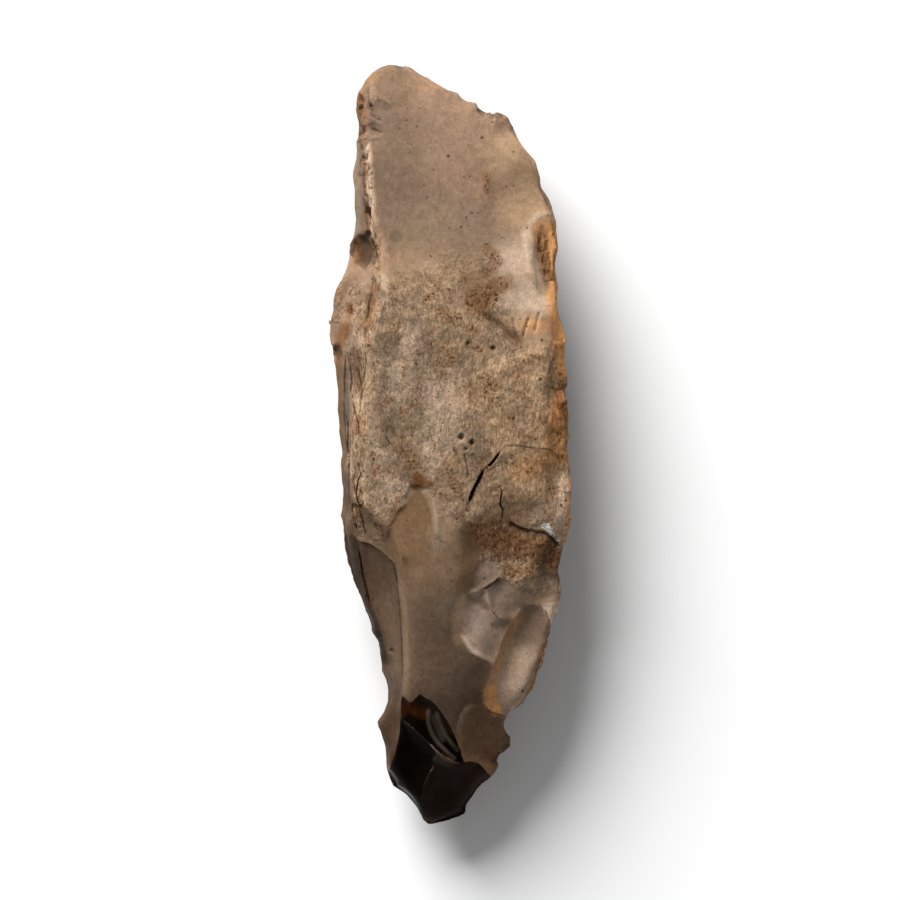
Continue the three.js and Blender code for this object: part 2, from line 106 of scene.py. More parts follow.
# Flake scars, each a shallow dish that meets its neighbours in sharp edges: outline, depth in the middle,
# breadth of its slope, how its depth leans to the right and down the sheet, colour, strength of the colour,
# and what is left of the natural skin: "kept", "gone", or "fresh" for newly struck flint.
Scar = namedtuple("Scar", "outline depth breadth lean colour strength skin")
SCARS = (
    # The lower right side.
    Scar(((473, 568), (479, 560), (488, 555), (496, 556), (499, 562), (500, 570), (499, 577), (492, 582),
          (484, 587), (474, 591), (469, 588), (471, 577)),
         0.3, 8, (0.0, 0.0), "dove", 0.9, "gone"),
    Scar(((463, 607), (467, 594), (474, 591), (484, 588), (487, 590), (489, 600), (491, 609), (498, 617),
          (505, 620), (508, 626), (503, 636), (500, 648), (497, 656), (492, 664), (488, 660), (480, 655.5),
          (472, 651), (466, 642), (461, 634), (463, 620)),
         0.8, 15, (0.0, -0.01), "blush", 0.9, "gone"),
    Scar(((487, 590), (493, 582), (499, 577), (506, 578), (513, 586), (519, 597), (522, 608), (517, 614),
          (511, 618), (503, 619), (497, 616), (491, 609), (489, 600)),
         0.65, 11, (-0.01, -0.01), "dove", 0.95, "gone"),
    Scar(((524, 604), (532, 604), (540, 606), (546, 614), (550, 626), (568, 640), (556, 668), (545, 692),
          (532, 712), (512, 716), (506, 716), (500, 714), (490, 711), (483, 702), (484, 692), (490, 676),
          (497, 655), (501, 642), (508, 627), (516, 615)),
         0.8, 17, (-0.006, -0.004), "hide", 0.9, "gone"),
    Scar(((541, 603), (560, 602), (574, 600), (568, 620), (551, 626), (545, 614)),
         0.3, 7, (0.0, 0.0), "chalk", 0.95, "gone"),
    Scar(((517, 590), (522, 578), (540, 572), (562, 573), (572, 590), (566, 602), (541, 603), (532, 603),
          (524, 603), (520, 598)),
         0.25, 9, (0.0, 0.0), "dove", 0.5, "kept"),
    Scar(((468, 704), (476, 702), (483, 703), (490, 711), (500, 714), (508, 717), (526, 722), (526, 745),
          (510, 762), (510, 778), (489, 777), (485, 770), (478, 763), (470, 761), (464, 762), (460, 755),
          (457, 745), (455, 735), (458, 725), (462, 712)),
         0.7, 14, (-0.006, 0.0), "blade", 0.95, "gone"),
    # The black point.
    Scar(((401, 700), (403, 694), (410, 701), (414, 699), (420, 692), (427, 697), (433, 700), (441, 710),
          (449, 722), (455, 735), (460, 748), (464, 762), (455, 761), (448, 757), (440, 752), (428, 740),
          (415, 728), (404, 719), (401, 712)),
         0.7, 11, (0.0, 0.0), "jet", 1.0, "fresh"),
    Scar(((401, 714), (404, 719), (415, 728), (428, 740), (437, 753), (434, 763), (428, 775), (424, 785),
          (422, 797), (424, 808), (428, 842), (398, 826), (376, 798), (370, 780), (389, 770), (394, 757),
          (397, 745), (400, 730)),
         0.8, 18, (0.0, 0.0), "jet", 1.0, "fresh"),
    Scar(((437, 753), (445, 760), (455, 763), (464, 762), (470, 761), (478, 763), (485, 770), (494, 781),
          (508, 794), (488, 816), (470, 836), (430, 844), (424, 812), (422, 800), (424, 785), (428, 775),
          (433, 768)),
         0.7, 18, (0.0, 0.0), "clay", 1.0, "fresh"),
    # The scoop in the middle, which runs out down the sheet.
    Scar(((410, 486), (420, 485), (429, 487), (433, 500), (436, 520), (438, 545), (432, 582), (398, 582),
          (386, 552), (386, 538), (391, 524), (398, 511), (405, 504), (403, 497), (408, 492)),
         0.28, 3.5, (0.0, -0.018), "scoop", 0.85, "gone"),
    # The left side.
    Scar(((360, 541), (370, 543), (380, 550), (388, 556), (394, 564), (397, 575), (399, 590), (402, 610),
          (403, 640), (404, 665), (403, 690), (400, 714), (397, 735), (391, 757), (376, 776), (362, 760),
          (362, 700), (368, 660), (380, 664), (388, 655), (384, 640), (378, 620), (372, 603), (367, 580),
          (363, 560)),
         0.35, 9, (-0.02, 0.0), "loam", 0.9, "gone"),
    # The outer strip of the left side is dark in itself. Its near black is darker still because this side faces the
    # lamp, so it is partly painted shade.
    Scar(((336, 535), (352, 533), (360, 541), (363, 560), (367, 580), (372, 603), (378, 620), (384, 640),
          (388, 655), (380, 664), (356, 650), (342, 600), (330, 560)),
         0.25, 8, (0.0, 0.0), "soot_and_shade", 0.85, "gone"),
    Scar(((369, 104), (380, 101), (390, 106), (394, 112), (388, 118), (380, 122), (371, 119), (364, 113)),
         0.6, 9, (-0.02, 0.0), "slate", 0.4, "gone"),
    Scar(((362, 128), (374, 124), (384, 129), (384, 136), (370, 140), (352, 138)),
         0.5, 7, (-0.03, 0.0), "slate", 0.3, "gone"),
    Scar(((360, 234), (368, 236), (376, 246), (379, 258), (374, 268), (366, 272), (356, 264), (348, 252),
          (350, 240)),
         1.1, 10, (-0.03, -0.02), "peat", 0.8, "gone"),
    Scar(((354, 331), (364, 329), (374, 333), (372, 343), (362, 349), (352, 346)),
         0.35, 6, (0.0, -0.04), "pink", 0.6, "kept"),
    Scar(((334, 344), (341, 344), (343, 354), (339, 360), (331, 354)),
         0.9, 5, (0.0, 0.0), "soot_and_shade", 0.85, "gone"),
    # The butt and the right edge.
    Scar(((483, 163), (500, 158.5), (520, 165), (538, 175), (556, 195), (552, 212), (530, 222), (500, 215),
          (486, 190)),
         0.12, 16, (0.01, 0.0), "skin", 0.2, "kept"),
    Scar(((531, 227), (537, 219), (545, 215), (553, 217), (572, 236), (574, 284), (553, 291), (546, 286),
          (541, 276), (538, 262), (535, 249), (531, 238)),
         0.6, 12, (0.0, 0.0), "amber", 0.45, "gone"),
    Scar(((549, 387), (570, 386), (576, 399), (556, 402)),
         0.5, 4, (0.0, 0.0), "amber", 0.5, "kept"),
    Scar(((552, 402), (578, 402), (578, 470), (556, 462), (550, 430)),
         0.4, 8, (0.0, 0.0), "amber", 0.4, "kept"),
    Scar(((474, 103), (484, 103), (491, 111), (484, 116), (477, 111)),
         0.6, 3.5, (0.0, 0.0), "slate", 0.75, "gone"),
    Scar(((486, 113), (496, 108), (506, 114), (502, 120), (492, 119)),
         0.6, 3.5, (0.0, 0.0), "slate", 0.75, "gone"),
    Scar(((509, 124), (517, 124), (519, 135), (511, 132)),
         0.5, 3.5, (0.0, 0.0), "slate", 0.6, "gone"),
    Scar(((395, 63), (406, 63), (404, 71.5), (397, 71)),
         0.5, 3, (0.0, 0.0), "slate", 0.7, "gone"),
    Scar(((446, 86), (456, 86), (454, 94.5), (447, 94)),
         0.5, 3, (0.0, 0.0), "slate", 0.6, "gone"),
)

# The plain middle of the lower half, between the scars.
SMOOTH_MIDDLE = (
    (404, 566), (430, 560), (462, 562), (468, 592), (460, 612), (460, 640), (478, 668), (480, 700), (462, 712),
    (452, 722), (434, 700), (420, 692), (404, 692), (404, 640), (400, 600),
)

# Shallow hollows: x, y, half breadth, half length, turn clockwise in degrees, depth.
HOLLOWS = (
    (352, 297, 12, 20, 20, 0.4),
    (351, 311, 3, 6, 10, 1.2),
    (361, 100, 4, 6, -20, 0.7),
    (361, 109, 3, 5, 10, 0.9),
    (472, 462, 12, 20, -24, 0.4),
    (366, 161, 3, 5, 0, 0.7),
    (361, 176, 3, 4, 0, 0.6),
    (368, 213, 3, 5, 0, 0.7),
    (368, 235, 3, 4, 0, 0.8),
    (440, 370, 26, 40, 20, 0.3),
    (520, 400, 24, 40, -10, 0.25),
    (528, 300, 16, 26, 0, 0.3),
)

# Small round pits: x, y, radius, depth.
PITS = (
    (493, 349.5, 3.0, 0.5),
    (461, 437.5, 4.0, 0.6),
    (472, 443, 3.2, 0.9),
    (468, 344, 2.4, 0.5),
    (426, 302, 2.0, 0.5),
    (496, 302, 1.8, 0.5),
    (466, 449, 2.0, 0.5),
    (391, 650, 1.8, 0.4),
    (374, 636, 2.2, 0.5),
)

# Steps: path, drop on its right-hand side seen along it, how far the drop reaches.
STEPS = (
    (((508, 520), (513, 523), (520, 527), (531, 529.5), (540, 530), (548, 534), (555, 540.5), (562, 547)), 0.65, 16),
    (((352, 503), (358, 505), (364, 503)), 0.6, 14),
    (((514, 457), (506, 462), (497, 467), (487, 473)), 0.25, 8),
    (((484, 587), (492, 582), (499.5, 576.5)), 0.5, 9),
)

# Rises of the ground towards a path outside the right-hand edge: path, height, reach.
RISES = (
    (((556, 180), (566, 250), (573, 320), (580, 400), (584, 480), (582, 540), (574, 600), (562, 650), (546, 695),
      (524, 735), (512, 770)), 3.2, 90),
    (((548, 190), (560, 240), (564, 310), (572, 380), (577, 440), (578, 520), (566, 600), (556, 640), (540, 690),
      (520, 720)), 1.4, 24),
)

# Rounded ridges: path, half width, height.
RIDGES = (
    (((404, 719), (415, 728), (428, 740), (440, 752), (450, 758)), 1.6, 0.22),
    (((428, 708), (428, 722), (432, 732), (438, 742), (446, 750), (453, 757)), 2.4, 0.35),
    (((436, 711), (441, 724), (446, 735), (452, 743), (457, 749)), 2.2, 0.32),
    (((468, 704), (462, 713), (459, 724), (457, 737)), 2.5, 0.25),
    (((424, 487), (431, 501), (435.5, 516), (438, 540)), 5, 0.35),
    (((360, 395), (358, 430), (358, 470)), 5, 0.5),
    (((372, 96), (384, 100), (393, 108)), 3, 0.2),
    (((357, 137), (370, 141), (383, 140)), 3, 0.25),
    (((530, 524), (538, 519), (546, 521)), 6, 0.12),
)

# Soft furrows: path, half width, depth.
FURROWS = (
    (((480, 314), (490, 321), (502, 328), (510, 337), (520, 343)), 5.0, 0.35),
    (((451, 447), (457, 453), (461, 464), (465, 474), (468, 480)), 3.2, 0.45),
    (((529, 317), (525, 327), (521.5, 341)), 2.6, 0.3),
    (((539, 312), (536, 323), (533.5, 334)), 2.6, 0.3),
    (((512, 318), (514, 328), (519, 338)), 2.5, 0.25),
    (((365, 116), (375, 119), (383, 124)), 2.4, 0.3),
    (((371, 130), (378, 133), (384, 135)), 2.0, 0.25),
    (((387, 429), (387, 437), (391, 444)), 1.6, 0.2),
    (((399, 350), (400, 335), (402, 322)), 3.0, 0.2),
    (((484, 478), (472, 500), (466, 515)), 5.0, 0.25),
)

# Cracks, cut last into a finer mesh: path, half width, depth.
CRACKS = (
    (((467.5, 503), (470, 499), (472.5, 492), (475.5, 486), (479.5, 478), (484, 468.5)), 2.0, 1.8),
    (((486, 467), (490, 464.5), (494, 460), (499.5, 452)), 1.4, 1.4),
    (((498, 486), (501.5, 490), (500.5, 497), (499.5, 503), (502.5, 509), (501.5, 516), (501, 521)), 0.8, 0.5),
    (((347, 414), (348.5, 430), (348, 446), (349.5, 460), (349, 474)), 0.9, 0.5),
    (((353, 508), (355, 520), (358, 530)), 0.8, 0.4),
    (((358, 545), (361, 560), (362.5, 574), (366.5, 590), (371, 608)), 0.9, 0.5),
    (((363, 470), (359, 480), (357, 492), (359, 503), (363, 500)), 0.8, 0.4),
)

# ---------------------------------------------------------------------------
# Skins. Outlines and brush strokes in plan units.
# ---------------------------------------------------------------------------

ROUGH_SKIN = (
    (366, 290), (376, 282), (386, 290), (396, 272), (412, 274), (424, 258), (440, 264), (454, 250), (470, 260),
    (484, 254), (494, 270), (508, 276), (496, 292), (506, 306), (500, 318), (510, 330), (524, 348), (544, 348),
    (560, 340), (575, 345), (582, 420), (586, 520), (578, 590), (548, 596), (520, 590), (508, 580), (500, 566),
    (488, 550), (474, 530), (460, 522), (446, 516), (440, 500), (432, 485), (420, 482), (408, 488), (402, 500),
    (394, 514), (386, 536), (372, 545), (362, 540), (354, 505), (352, 460), (354, 410), (350, 365), (344, 340),
    (352, 322), (362, 304),
)

# Crumbling crests: path, half width, strength.
CRUMBLING = (
    (((358, 94), (361, 118), (364, 150), (367, 180), (369, 205), (371, 230), (377, 250), (378, 275)), 4.8, 0.95),
    (((378, 275), (375, 292), (371, 312), (369, 330), (366, 350)), 6, 1.0),
    (((343, 278), (338, 300), (334, 325)), 8, 0.7),
    (((354, 282), (357, 298), (352, 316)), 12, 0.55),
    (((350, 350), (360, 362), (361, 395), (359, 430), (359, 465), (357, 500), (360, 530)), 7.5, 0.95),
    (((541, 236), (542, 252), (546, 270), (550, 283)), 7, 0.9),
    (((562, 400), (560, 430), (562, 460)), 6, 0.8),
    (((482, 540), (505, 550), (530, 552), (556, 556)), 24, 0.6),
    (((505, 574), (528, 572)), 12, 0.5),
)

# Clusters of rusty grains: path, half width.
RUSTY = (
    (((476, 300), (490, 291), (506, 284)), 11),
    (((474, 308), (482, 306)), 9),
    (((442, 316), (454, 320)), 8),
    (((468, 345), (480, 350)), 4),
    (((484, 378), (496, 388)), 7),
    (((446, 462), (458, 492)), 6),
    (((484, 534), (505, 544), (530, 548), (554, 556)), 18),
    (((508, 570), (528, 570)), 6),
    (((485, 177), (487, 194)), 4),
    (((486, 250), (498, 264), (484, 276)), 6),
)

# Named colours of the stone (sRGB, 0 to 1), most of them as they look in daylight. Amber is paler than the stone's
# own orange and serves as painted light on the right-hand edge. The near black soot colour also paints shade, and
# the smoke grey also paints highlights on the ripples of the black point.
PALETTE = {
    "skin": (0.585, 0.475, 0.385),
    "rough": (0.635, 0.54, 0.44),
    "yellow": (0.63, 0.515, 0.385),
    "cream": (0.74, 0.61, 0.47),
    "chalk": (0.89, 0.78, 0.67),
    "centre": (0.465, 0.38, 0.295),
    "lower": (0.37, 0.30, 0.24),
    "brown": (0.40, 0.31, 0.215),
    "scoop": (0.485, 0.375, 0.265),
    "rust": (0.48, 0.31, 0.17),
    "orange": (0.66, 0.48, 0.31),
    # Amber is paler than the stone's own orange. It is painted light for the right-hand edge, which slopes away from
    # the lamp.
    "amber": (0.90, 0.635, 0.385),
    "pink": (0.70, 0.60, 0.505),
    "pale": (0.76, 0.67, 0.57),
    "blush": (0.69, 0.60, 0.525),
    "hide": (0.62, 0.52, 0.43),
    "dove": (0.59, 0.505, 0.43),
    "ash": (0.52, 0.455, 0.38),
    "mauve": (0.46, 0.385, 0.325),
    "blade": (0.48, 0.375, 0.285),
    "slate": (0.36, 0.31, 0.265),
    "loam": (0.325, 0.25, 0.19),
    "peat": (0.28, 0.205, 0.15),
    "umber": (0.24, 0.17, 0.115),
    "soot_and_shade": (0.12, 0.085, 0.06),
    "jet": (0.045, 0.030, 0.020),
    "clay": (0.153, 0.108, 0.074),
    "bistre": (0.15, 0.108, 0.07),
    "ember": (0.25, 0.12, 0.045),
    "smoke_and_sheen": (0.36, 0.315, 0.27),
}

# Broad, soft strokes on the skin, laid on in order before the colours of the scars: colour, strength,
# softness, half width, path.
GROUND_STROKES = (
    ("centre", 0.45, 26, 20, ((385, 120), (392, 180), (396, 225))),
    ("centre", 0.3, 26, 20, ((420, 215), (450, 225))),
    ("mauve", 0.5, 30, 26, ((390, 140), (396, 205), (436, 225))),
    ("ash", 0.3, 26, 16, ((405, 225), (450, 232), (500, 235))),
    ("yellow", 0.3, 40, 50, ((440, 285), (490, 330), (520, 400), (510, 480))),
    ("ash", 0.35, 26, 18, ((405, 345), (420, 375), (410, 420), (400, 455))),
    ("centre", 0.9, 34, 44, ((425, 575), (430, 610))),
    ("lower", 0.9, 34, 50, ((430, 655), (432, 740))),
)

# Strokes over the scars, laid on in the same way.
STROKES = (
    # The butt and the smooth upper part.
    # Painted shade: the nose of the butt faces the lamp and is painted darker than the stone.
    ("centre", 0.65, 16, 12, ((386, 78), (396, 92))),
    ("orange", 0.12, 6, 5, ((416, 84), (434, 92))),
    ("cream", 0.6, 26, 18, ((516, 160), (520, 205))),
    ("orange", 0.4, 4, 2.5, ((367, 81), (372, 78))),
    ("slate", 0.4, 3, 5.5, ((396, 238.5), (396.5, 238.5))),
    ("slate", 0.25, 3, 3, ((392, 250), (393, 250))),
    ("brown", 0.25, 8, 5, ((482, 172), (488, 183))),
    ("slate", 0.18, 4, 2, ((481, 163), (500, 159), (520, 166), (538, 176))),
    ("orange", 0.4, 3, 1.5, ((485, 178), (485.5, 178))),
    ("orange", 0.4, 3, 1.5, ((478, 200), (478.5, 200))),
    # The natural skin.
    # Painted light: the right-hand part of the skin slopes away from the lamp and is painted paler.
    ("cream", 0.5, 26, 24, ((510, 380), (525, 430), (520, 500))),
    ("ash", 0.2, 14, 10, ((440, 350), (452, 385))),
    ("slate", 0.25, 8, 8, ((400, 306), (410, 318))),
    ("slate", 0.3, 10, 7, ((385, 345), (386, 390), (391, 425))),
    ("pale", 0.35, 12, 5, ((397, 396), (402, 366), (414, 334))),
    ("slate", 0.25, 10, 4, ((424, 352), (414, 398), (420, 436))),
    ("slate", 0.3, 8, 4, ((390, 425), (404, 446), (424, 465), (437, 476))),
    ("pale", 0.4, 14, 12, ((440, 400), (447, 432), (430, 448))),
    ("cream", 0.3, 14, 12, ((478, 390), (500, 412))),
    ("ash", 0.5, 10, 8, ((474, 450), (476, 470))),
    ("rust", 0.5, 10, 5, ((474, 308), (482, 306))),
    ("rust", 0.3, 14, 8, ((478, 285), (500, 295))),
    ("brown", 0.35, 10, 6, ((384, 330), (388, 345))),
    ("chalk", 0.55, 22, 8, ((512, 262), (528, 276), (522, 304))),
    ("chalk", 0.5, 9, 6, ((508, 302), (526, 300), (544, 306))),
    ("cream", 0.6, 6, 8, ((514, 324), (530, 324))),
    ("amber", 0.4, 6, 5, ((526, 326), (540, 328))),
    ("brown", 0.5, 5, 2.5, ((483, 316), (492, 322), (502, 328), (512, 337), (519, 342))),
    # The amber strokes down the right-hand edge are painted light. They are paler than the edge's own orange because
    # the edge slopes away from the lamp.
    ("amber", 0.85, 10, 4.5, ((554, 296), (560, 335), (563, 372))),
    ("cream", 0.4, 10, 8, ((540, 345), (545, 375))),
    ("rust", 0.3, 6, 4, ((562, 402), (561, 430), (560, 458))),
    ("amber", 0.5, 8, 6, ((556, 404), (554, 430), (552, 458))),
    ("orange", 0.6, 12, 7, ((552, 462), (535, 466), (520, 470))),
    ("cream", 0.5, 18, 8, ((562, 482), (560, 515), (556, 545))),
    ("chalk", 0.7, 7, 6, ((565, 482), (565, 515), (561, 540))),
    ("amber", 0.5, 3, 1.5, ((569, 482), (568, 520), (563, 545))),
    ("umber", 0.5, 4, 3, ((562, 402), (562, 412))),
    ("yellow", 0.4, 5, 4, ((440, 455), (450, 456))),
    ("pale", 0.25, 8, 9, ((385, 460), (400, 490))),
    ("chalk", 0.5, 3, 4, ((403, 494), (408, 489), (402, 501))),
    ("brown", 0.45, 16, 12, ((398, 440), (402, 460))),
    ("pale", 0.4, 10, 9, ((534, 522), (544, 512))),
    # The stained hollow on the right.
    ("pale", 0.55, 4, 3, ((531, 224), (540, 216), (550, 218))),
    ("chalk", 0.5, 5, 4, ((526, 236), (530, 256), (536, 276))),
    ("orange", 0.5, 5, 4, ((540, 228), (539, 246), (544, 268), (549, 284))),
    ("rust", 0.35, 5, 3, ((545, 236), (546, 260), (550, 280))),
    ("amber", 0.6, 3, 2, ((551, 228), (552, 260), (554, 288))),
    ("umber", 0.5, 2.5, 1.2, ((541, 228), (538, 240), (539, 252))),
    ("umber", 0.4, 2.5, 1.2, ((540, 272), (546, 286))),
    # The left edge, from the butt down.
    ("brown", 0.4, 3, 3, ((358, 96), (361, 116))),
    ("orange", 0.3, 3, 3, ((362, 84), (358, 100), (362, 116), (364, 140))),
    ("orange", 0.2, 3, 3, ((364, 150), (367, 180), (370, 205), (372, 240))),
    ("chalk", 0.6, 2.5, 2, ((368, 146), (371, 200), (372, 236))),
    ("rust", 0.6, 3, 2, ((360, 98), (364, 118))),
    ("rust", 0.5, 2, 1.5, ((365, 158), (365, 176))),
    ("rust", 0.5, 2, 1.5, ((368, 208), (369, 236))),
    ("ash", 0.7, 4, 3, ((360, 145), (359, 180), (360, 232))),
    # Painted shade under the upper rim of the deep hollow on the left side.
    ("soot_and_shade", 0.5, 4, 3, ((364, 235), (371, 240))),
    ("umber", 0.55, 6, 5, ((360, 246), (367, 258))),
    ("rust", 0.6, 3, 1.5, ((359, 240), (357, 250), (355, 262))),
    ("cream", 0.45, 4, 3, ((377, 240), (380, 260), (379, 275))),
    ("brown", 0.35, 8, 8, ((356, 284), (350, 300))),
    ("pink", 0.35, 5, 4, ((366, 280), (358, 288), (352, 300))),
    ("rust", 0.6, 4, 2.5, ((377, 288), (371, 318), (369, 336))),
    ("umber", 0.6, 3, 1.5, ((369, 296), (368, 318))),
    ("rust", 0.8, 3, 2, ((351, 307), (350, 316))),
    ("ash", 0.5, 5, 4, ((381, 296), (383, 318))),
    ("pale", 0.45, 3, 4, ((382, 280), (388, 288))),
    ("rust", 0.75, 5, 4, ((346, 328), (340, 342))),
    ("rust", 0.5, 5, 4, ((339, 356), (340, 374))),
    ("pink", 0.6, 4, 4, ((358, 342), (370, 337))),
    ("peat", 0.45, 6, 5, ((356, 356), (356, 380))),
    ("brown", 0.75, 5, 4, ((339, 372), (340, 420), (343, 470))),
    ("slate", 0.75, 3, 2, ((346, 370), (347, 400), (348, 424))),
    ("cream", 0.2, 5, 4, ((360, 388), (359, 412), (358, 446))),
    ("brown", 0.5, 3, 3, ((338, 380), (338, 420), (341, 460), (342, 500))),
    ("pale", 0.35, 3, 3, ((360, 400), (363, 412))),
    ("rust", 0.5, 4, 3, ((362, 420), (361, 431))),
    ("pale", 0.2, 3, 3, ((355, 440), (353, 462), (355, 494))),
    ("umber", 0.6, 3, 1.5, ((354, 505), (362, 507))),
    ("yellow", 0.6, 4, 3, ((358, 513), (361, 526))),
    ("peat", 0.7, 6, 5, ((345, 480), (347, 510), (350, 540))),
    # The smooth middle and what lies round it.
    ("scoop", 0.5, 14, 16, ((412, 515), (410, 545))),
    ("rust", 0.85, 2, 4, ((417, 476), (421, 480))),
    ("rust", 0.8, 2, 2, ((412, 483), (430, 483.5))),
    ("pale", 0.3, 3, 2.5, ((424, 488), (431, 501), (435.5, 516), (437, 528))),
    ("ash", 0.45, 7, 6, ((438, 528), (437, 544))),
    ("brown", 0.6, 10, 7, ((466, 532), (472, 548), (466, 585))),
    ("peat", 0.35, 8, 6, ((470, 540), (478, 545))),
    ("rust", 0.4, 14, 10, ((488, 530), (520, 534), (548, 556))),
    ("brown", 0.3, 14, 12, ((500, 546), (525, 552), (550, 562))),
    ("umber", 0.3, 10, 3, ((490, 540), (512, 548), (534, 546))),
    ("yellow", 0.4, 8, 5, ((504, 566), (530, 572))),
    ("ash", 0.35, 10, 9, ((450, 612), (458, 598))),
    ("cream", 0.25, 12, 10, ((538, 575), (546, 588))),
    # The scars of the lower right.
    ("pale", 0.5, 3, 4, ((474, 592), (478, 602))),
    ("brown", 0.5, 3, 2.5, ((482, 600), (487, 606))),
    ("chalk", 0.35, 2.5, 1.5, ((463, 635), (471, 648), (482, 654), (491, 658))),
    ("mauve", 0.55, 6, 4, ((506, 622), (509, 628))),
    ("mauve", 0.45, 10, 9, ((534, 616), (527, 634))),
    ("dove", 0.4, 5, 4, ((536, 640), (540, 660))),
    ("chalk", 0.45, 14, 5, ((524, 656), (518, 682), (511, 704))),
    ("amber", 0.35, 6, 2, ((517, 616), (508, 634), (501, 652), (495, 672), (490, 690))),
    ("amber", 0.75, 5, 4, ((490, 690), (490, 702), (496, 709))),
    ("amber", 0.35, 3, 1.5, ((545, 640), (540, 668), (530, 690))),
    ("brown", 0.4, 3, 2.5, ((475, 599), (487, 606))),
    ("cream", 0.3, 6, 4, ((463, 598), (458, 618), (459, 636))),
    ("orange", 0.45, 3, 2, ((462, 736), (458, 746), (463, 756))),
    ("hide", 0.55, 2.5, 1.5, ((470, 704), (463, 714), (460, 726), (459, 736))),
    ("rust", 0.4, 5, 3, ((484, 752), (494, 756))),
    ("orange", 0.35, 4, 3, ((482, 764), (490, 772))),
    # The left blade.
    ("slate", 0.35, 6, 5, ((376, 556), (386, 570), (390, 600))),
    ("ash", 0.15, 6, 5, ((386, 600), (393, 640), (394, 690))),
    ("cream", 0.16, 4, 1.5, ((402, 584), (405, 612), (406, 640), (407, 668), (405, 690))),
    ("umber", 0.85, 8, 6, ((394, 714), (389, 735), (387, 758))),
    ("soot_and_shade", 0.6, 4, 3, ((374, 626), (378, 644), (384, 660))),
    ("umber", 0.5, 4, 3, ((379, 732), (384, 744))),
    # A small painted glint on the edge beside the black point.
    ("pale", 0.6, 2, 2, ((391, 771), (394, 776))),
)

# Strokes on the fresh flint, laid on in the same way again.
FRESH_STROKES = (
    ("bistre", 0.8, 4, 5, ((418, 697), (428, 702), (437, 710))),
    ("bistre", 0.6, 4, 4, ((442, 714), (452, 730))),
    ("ember", 0.85, 4, 4, ((411, 705), (418, 710), (424, 713))),
    ("ember", 0.5, 3, 2, ((404, 698), (405, 712))),
    # The smoke lines along the crests of the ripples are painted highlights, where the ripples catch the lamp.
    ("smoke_and_sheen", 0.75, 1.6, 1.2, ((429, 709), (428.5, 722), (432, 732), (438, 742), (446, 750), (454, 757))),
    ("smoke_and_sheen", 0.6, 1.8, 1.2, ((437, 712), (441, 724), (446, 735), (452, 743), (457, 749))),
    ("smoke_and_sheen", 0.35, 2.5, 2, ((434, 716), (438, 728), (443, 738))),
    ("ember", 0.5, 3, 1.5, ((396, 740), (393, 758))),
    ("bistre", 0.75, 4, 3, ((389, 774), (402, 790), (416, 808), (428, 822))),
    ("smoke_and_sheen", 0.4, 4, 3, ((438, 758), (448, 762))),
    ("ember", 0.3, 6, 4, ((468, 770), (478, 778))),
    ("bistre", 0.75, 9, 5, ((432, 818), (450, 813), (464, 808))),
    ("ember", 0.7, 2.5, 1.5, ((486, 770), (489, 777), (478, 786), (470, 802))),
)

# Fine dark and light lines: path, half width.
DARK_LINES = (
    # The dark lines along the big step paint the shadow under its edge.
    (((508, 520), (513, 523), (520, 527), (531, 529.5)), 0.7),
    (((540, 530.5), (548, 534.5), (555, 541), (560, 546)), 1.0),
    # Painted shadow under the small step.
    (((478, 588.5), (487, 586), (493, 582), (500, 576)), 0.9),
    (((358, 542), (370, 544), (380, 550), (389, 557)), 0.6),
    (((389, 557), (394.5, 564), (396, 572), (398, 584)), 1.0),
    (((398, 584), (400, 610), (402, 640), (402.5, 668), (401, 690)), 0.35),
    (((346, 352), (345, 380), (344, 410), (346, 436), (347, 452)), 0.9),
    (((350, 362), (352, 378), (351, 394)), 0.9),
    (((357, 366), (361, 378), (363, 392), (361, 404)), 0.9),
    (((352, 396), (356, 412), (360, 428), (362, 448)), 0.6),
    (((366, 350), (367, 366), (364, 380)), 0.6),
    (((351, 430), (350, 460), (349, 486), (350, 505)), 0.6),
    (((357, 470), (354, 480), (356, 492)), 0.9),
    (((360, 508), (363, 520), (366, 532)), 0.9),
    (((343, 505), (346, 540), (352, 570)), 0.6),
    (((372, 238), (376, 250), (379, 262)), 0.7),
    (((373, 292), (370, 304), (368, 322)), 0.9),
    (((367, 117), (375, 119), (383, 124)), 0.4),
    (((372, 130), (378, 133), (384, 135)), 0.4),
    (((544, 608), (548, 618), (550, 625)), 0.8),
    (((484, 704), (490, 711), (500, 714), (506, 716)), 0.7),
    (((512, 713), (516, 709), (521, 706)), 1.6),
    (((529, 318), (525, 327), (522, 340)), 0.4),
    (((538.5, 314), (536, 323), (534, 332)), 0.3),
    (((394, 424), (388, 428), (386.5, 436), (390, 443), (398, 446)), 0.45),
    (((463, 450), (466, 462), (468, 479)), 0.8),
    (((491, 609), (498, 617), (505, 620)), 0.5),
    # Painted shadow under the step beside the cracks.
    (((507, 451), (514, 457), (507, 462), (497, 466), (487, 472)), 0.5),
    (((499, 452), (505, 446.5), (512, 445), (522, 446), (532, 448), (546, 449), (554, 452), (560, 464)), 0.6),
    (((432, 721), (437, 735), (444, 746), (451, 753)), 0.9),
)

LIGHT_LINES = (
    (((404, 720), (415, 729), (428, 741), (440, 752), (448, 757), (456, 760)), 0.5),
    (((438, 760), (430, 772), (425, 784), (421.5, 799), (424, 812)), 0.5),
    (((461, 634), (467, 643), (473, 650), (482, 655), (493, 659)), 0.7),
    (((523, 606), (515, 614), (508, 627), (501.5, 642), (497, 656), (490, 677), (484.5, 692)), 0.5),
)

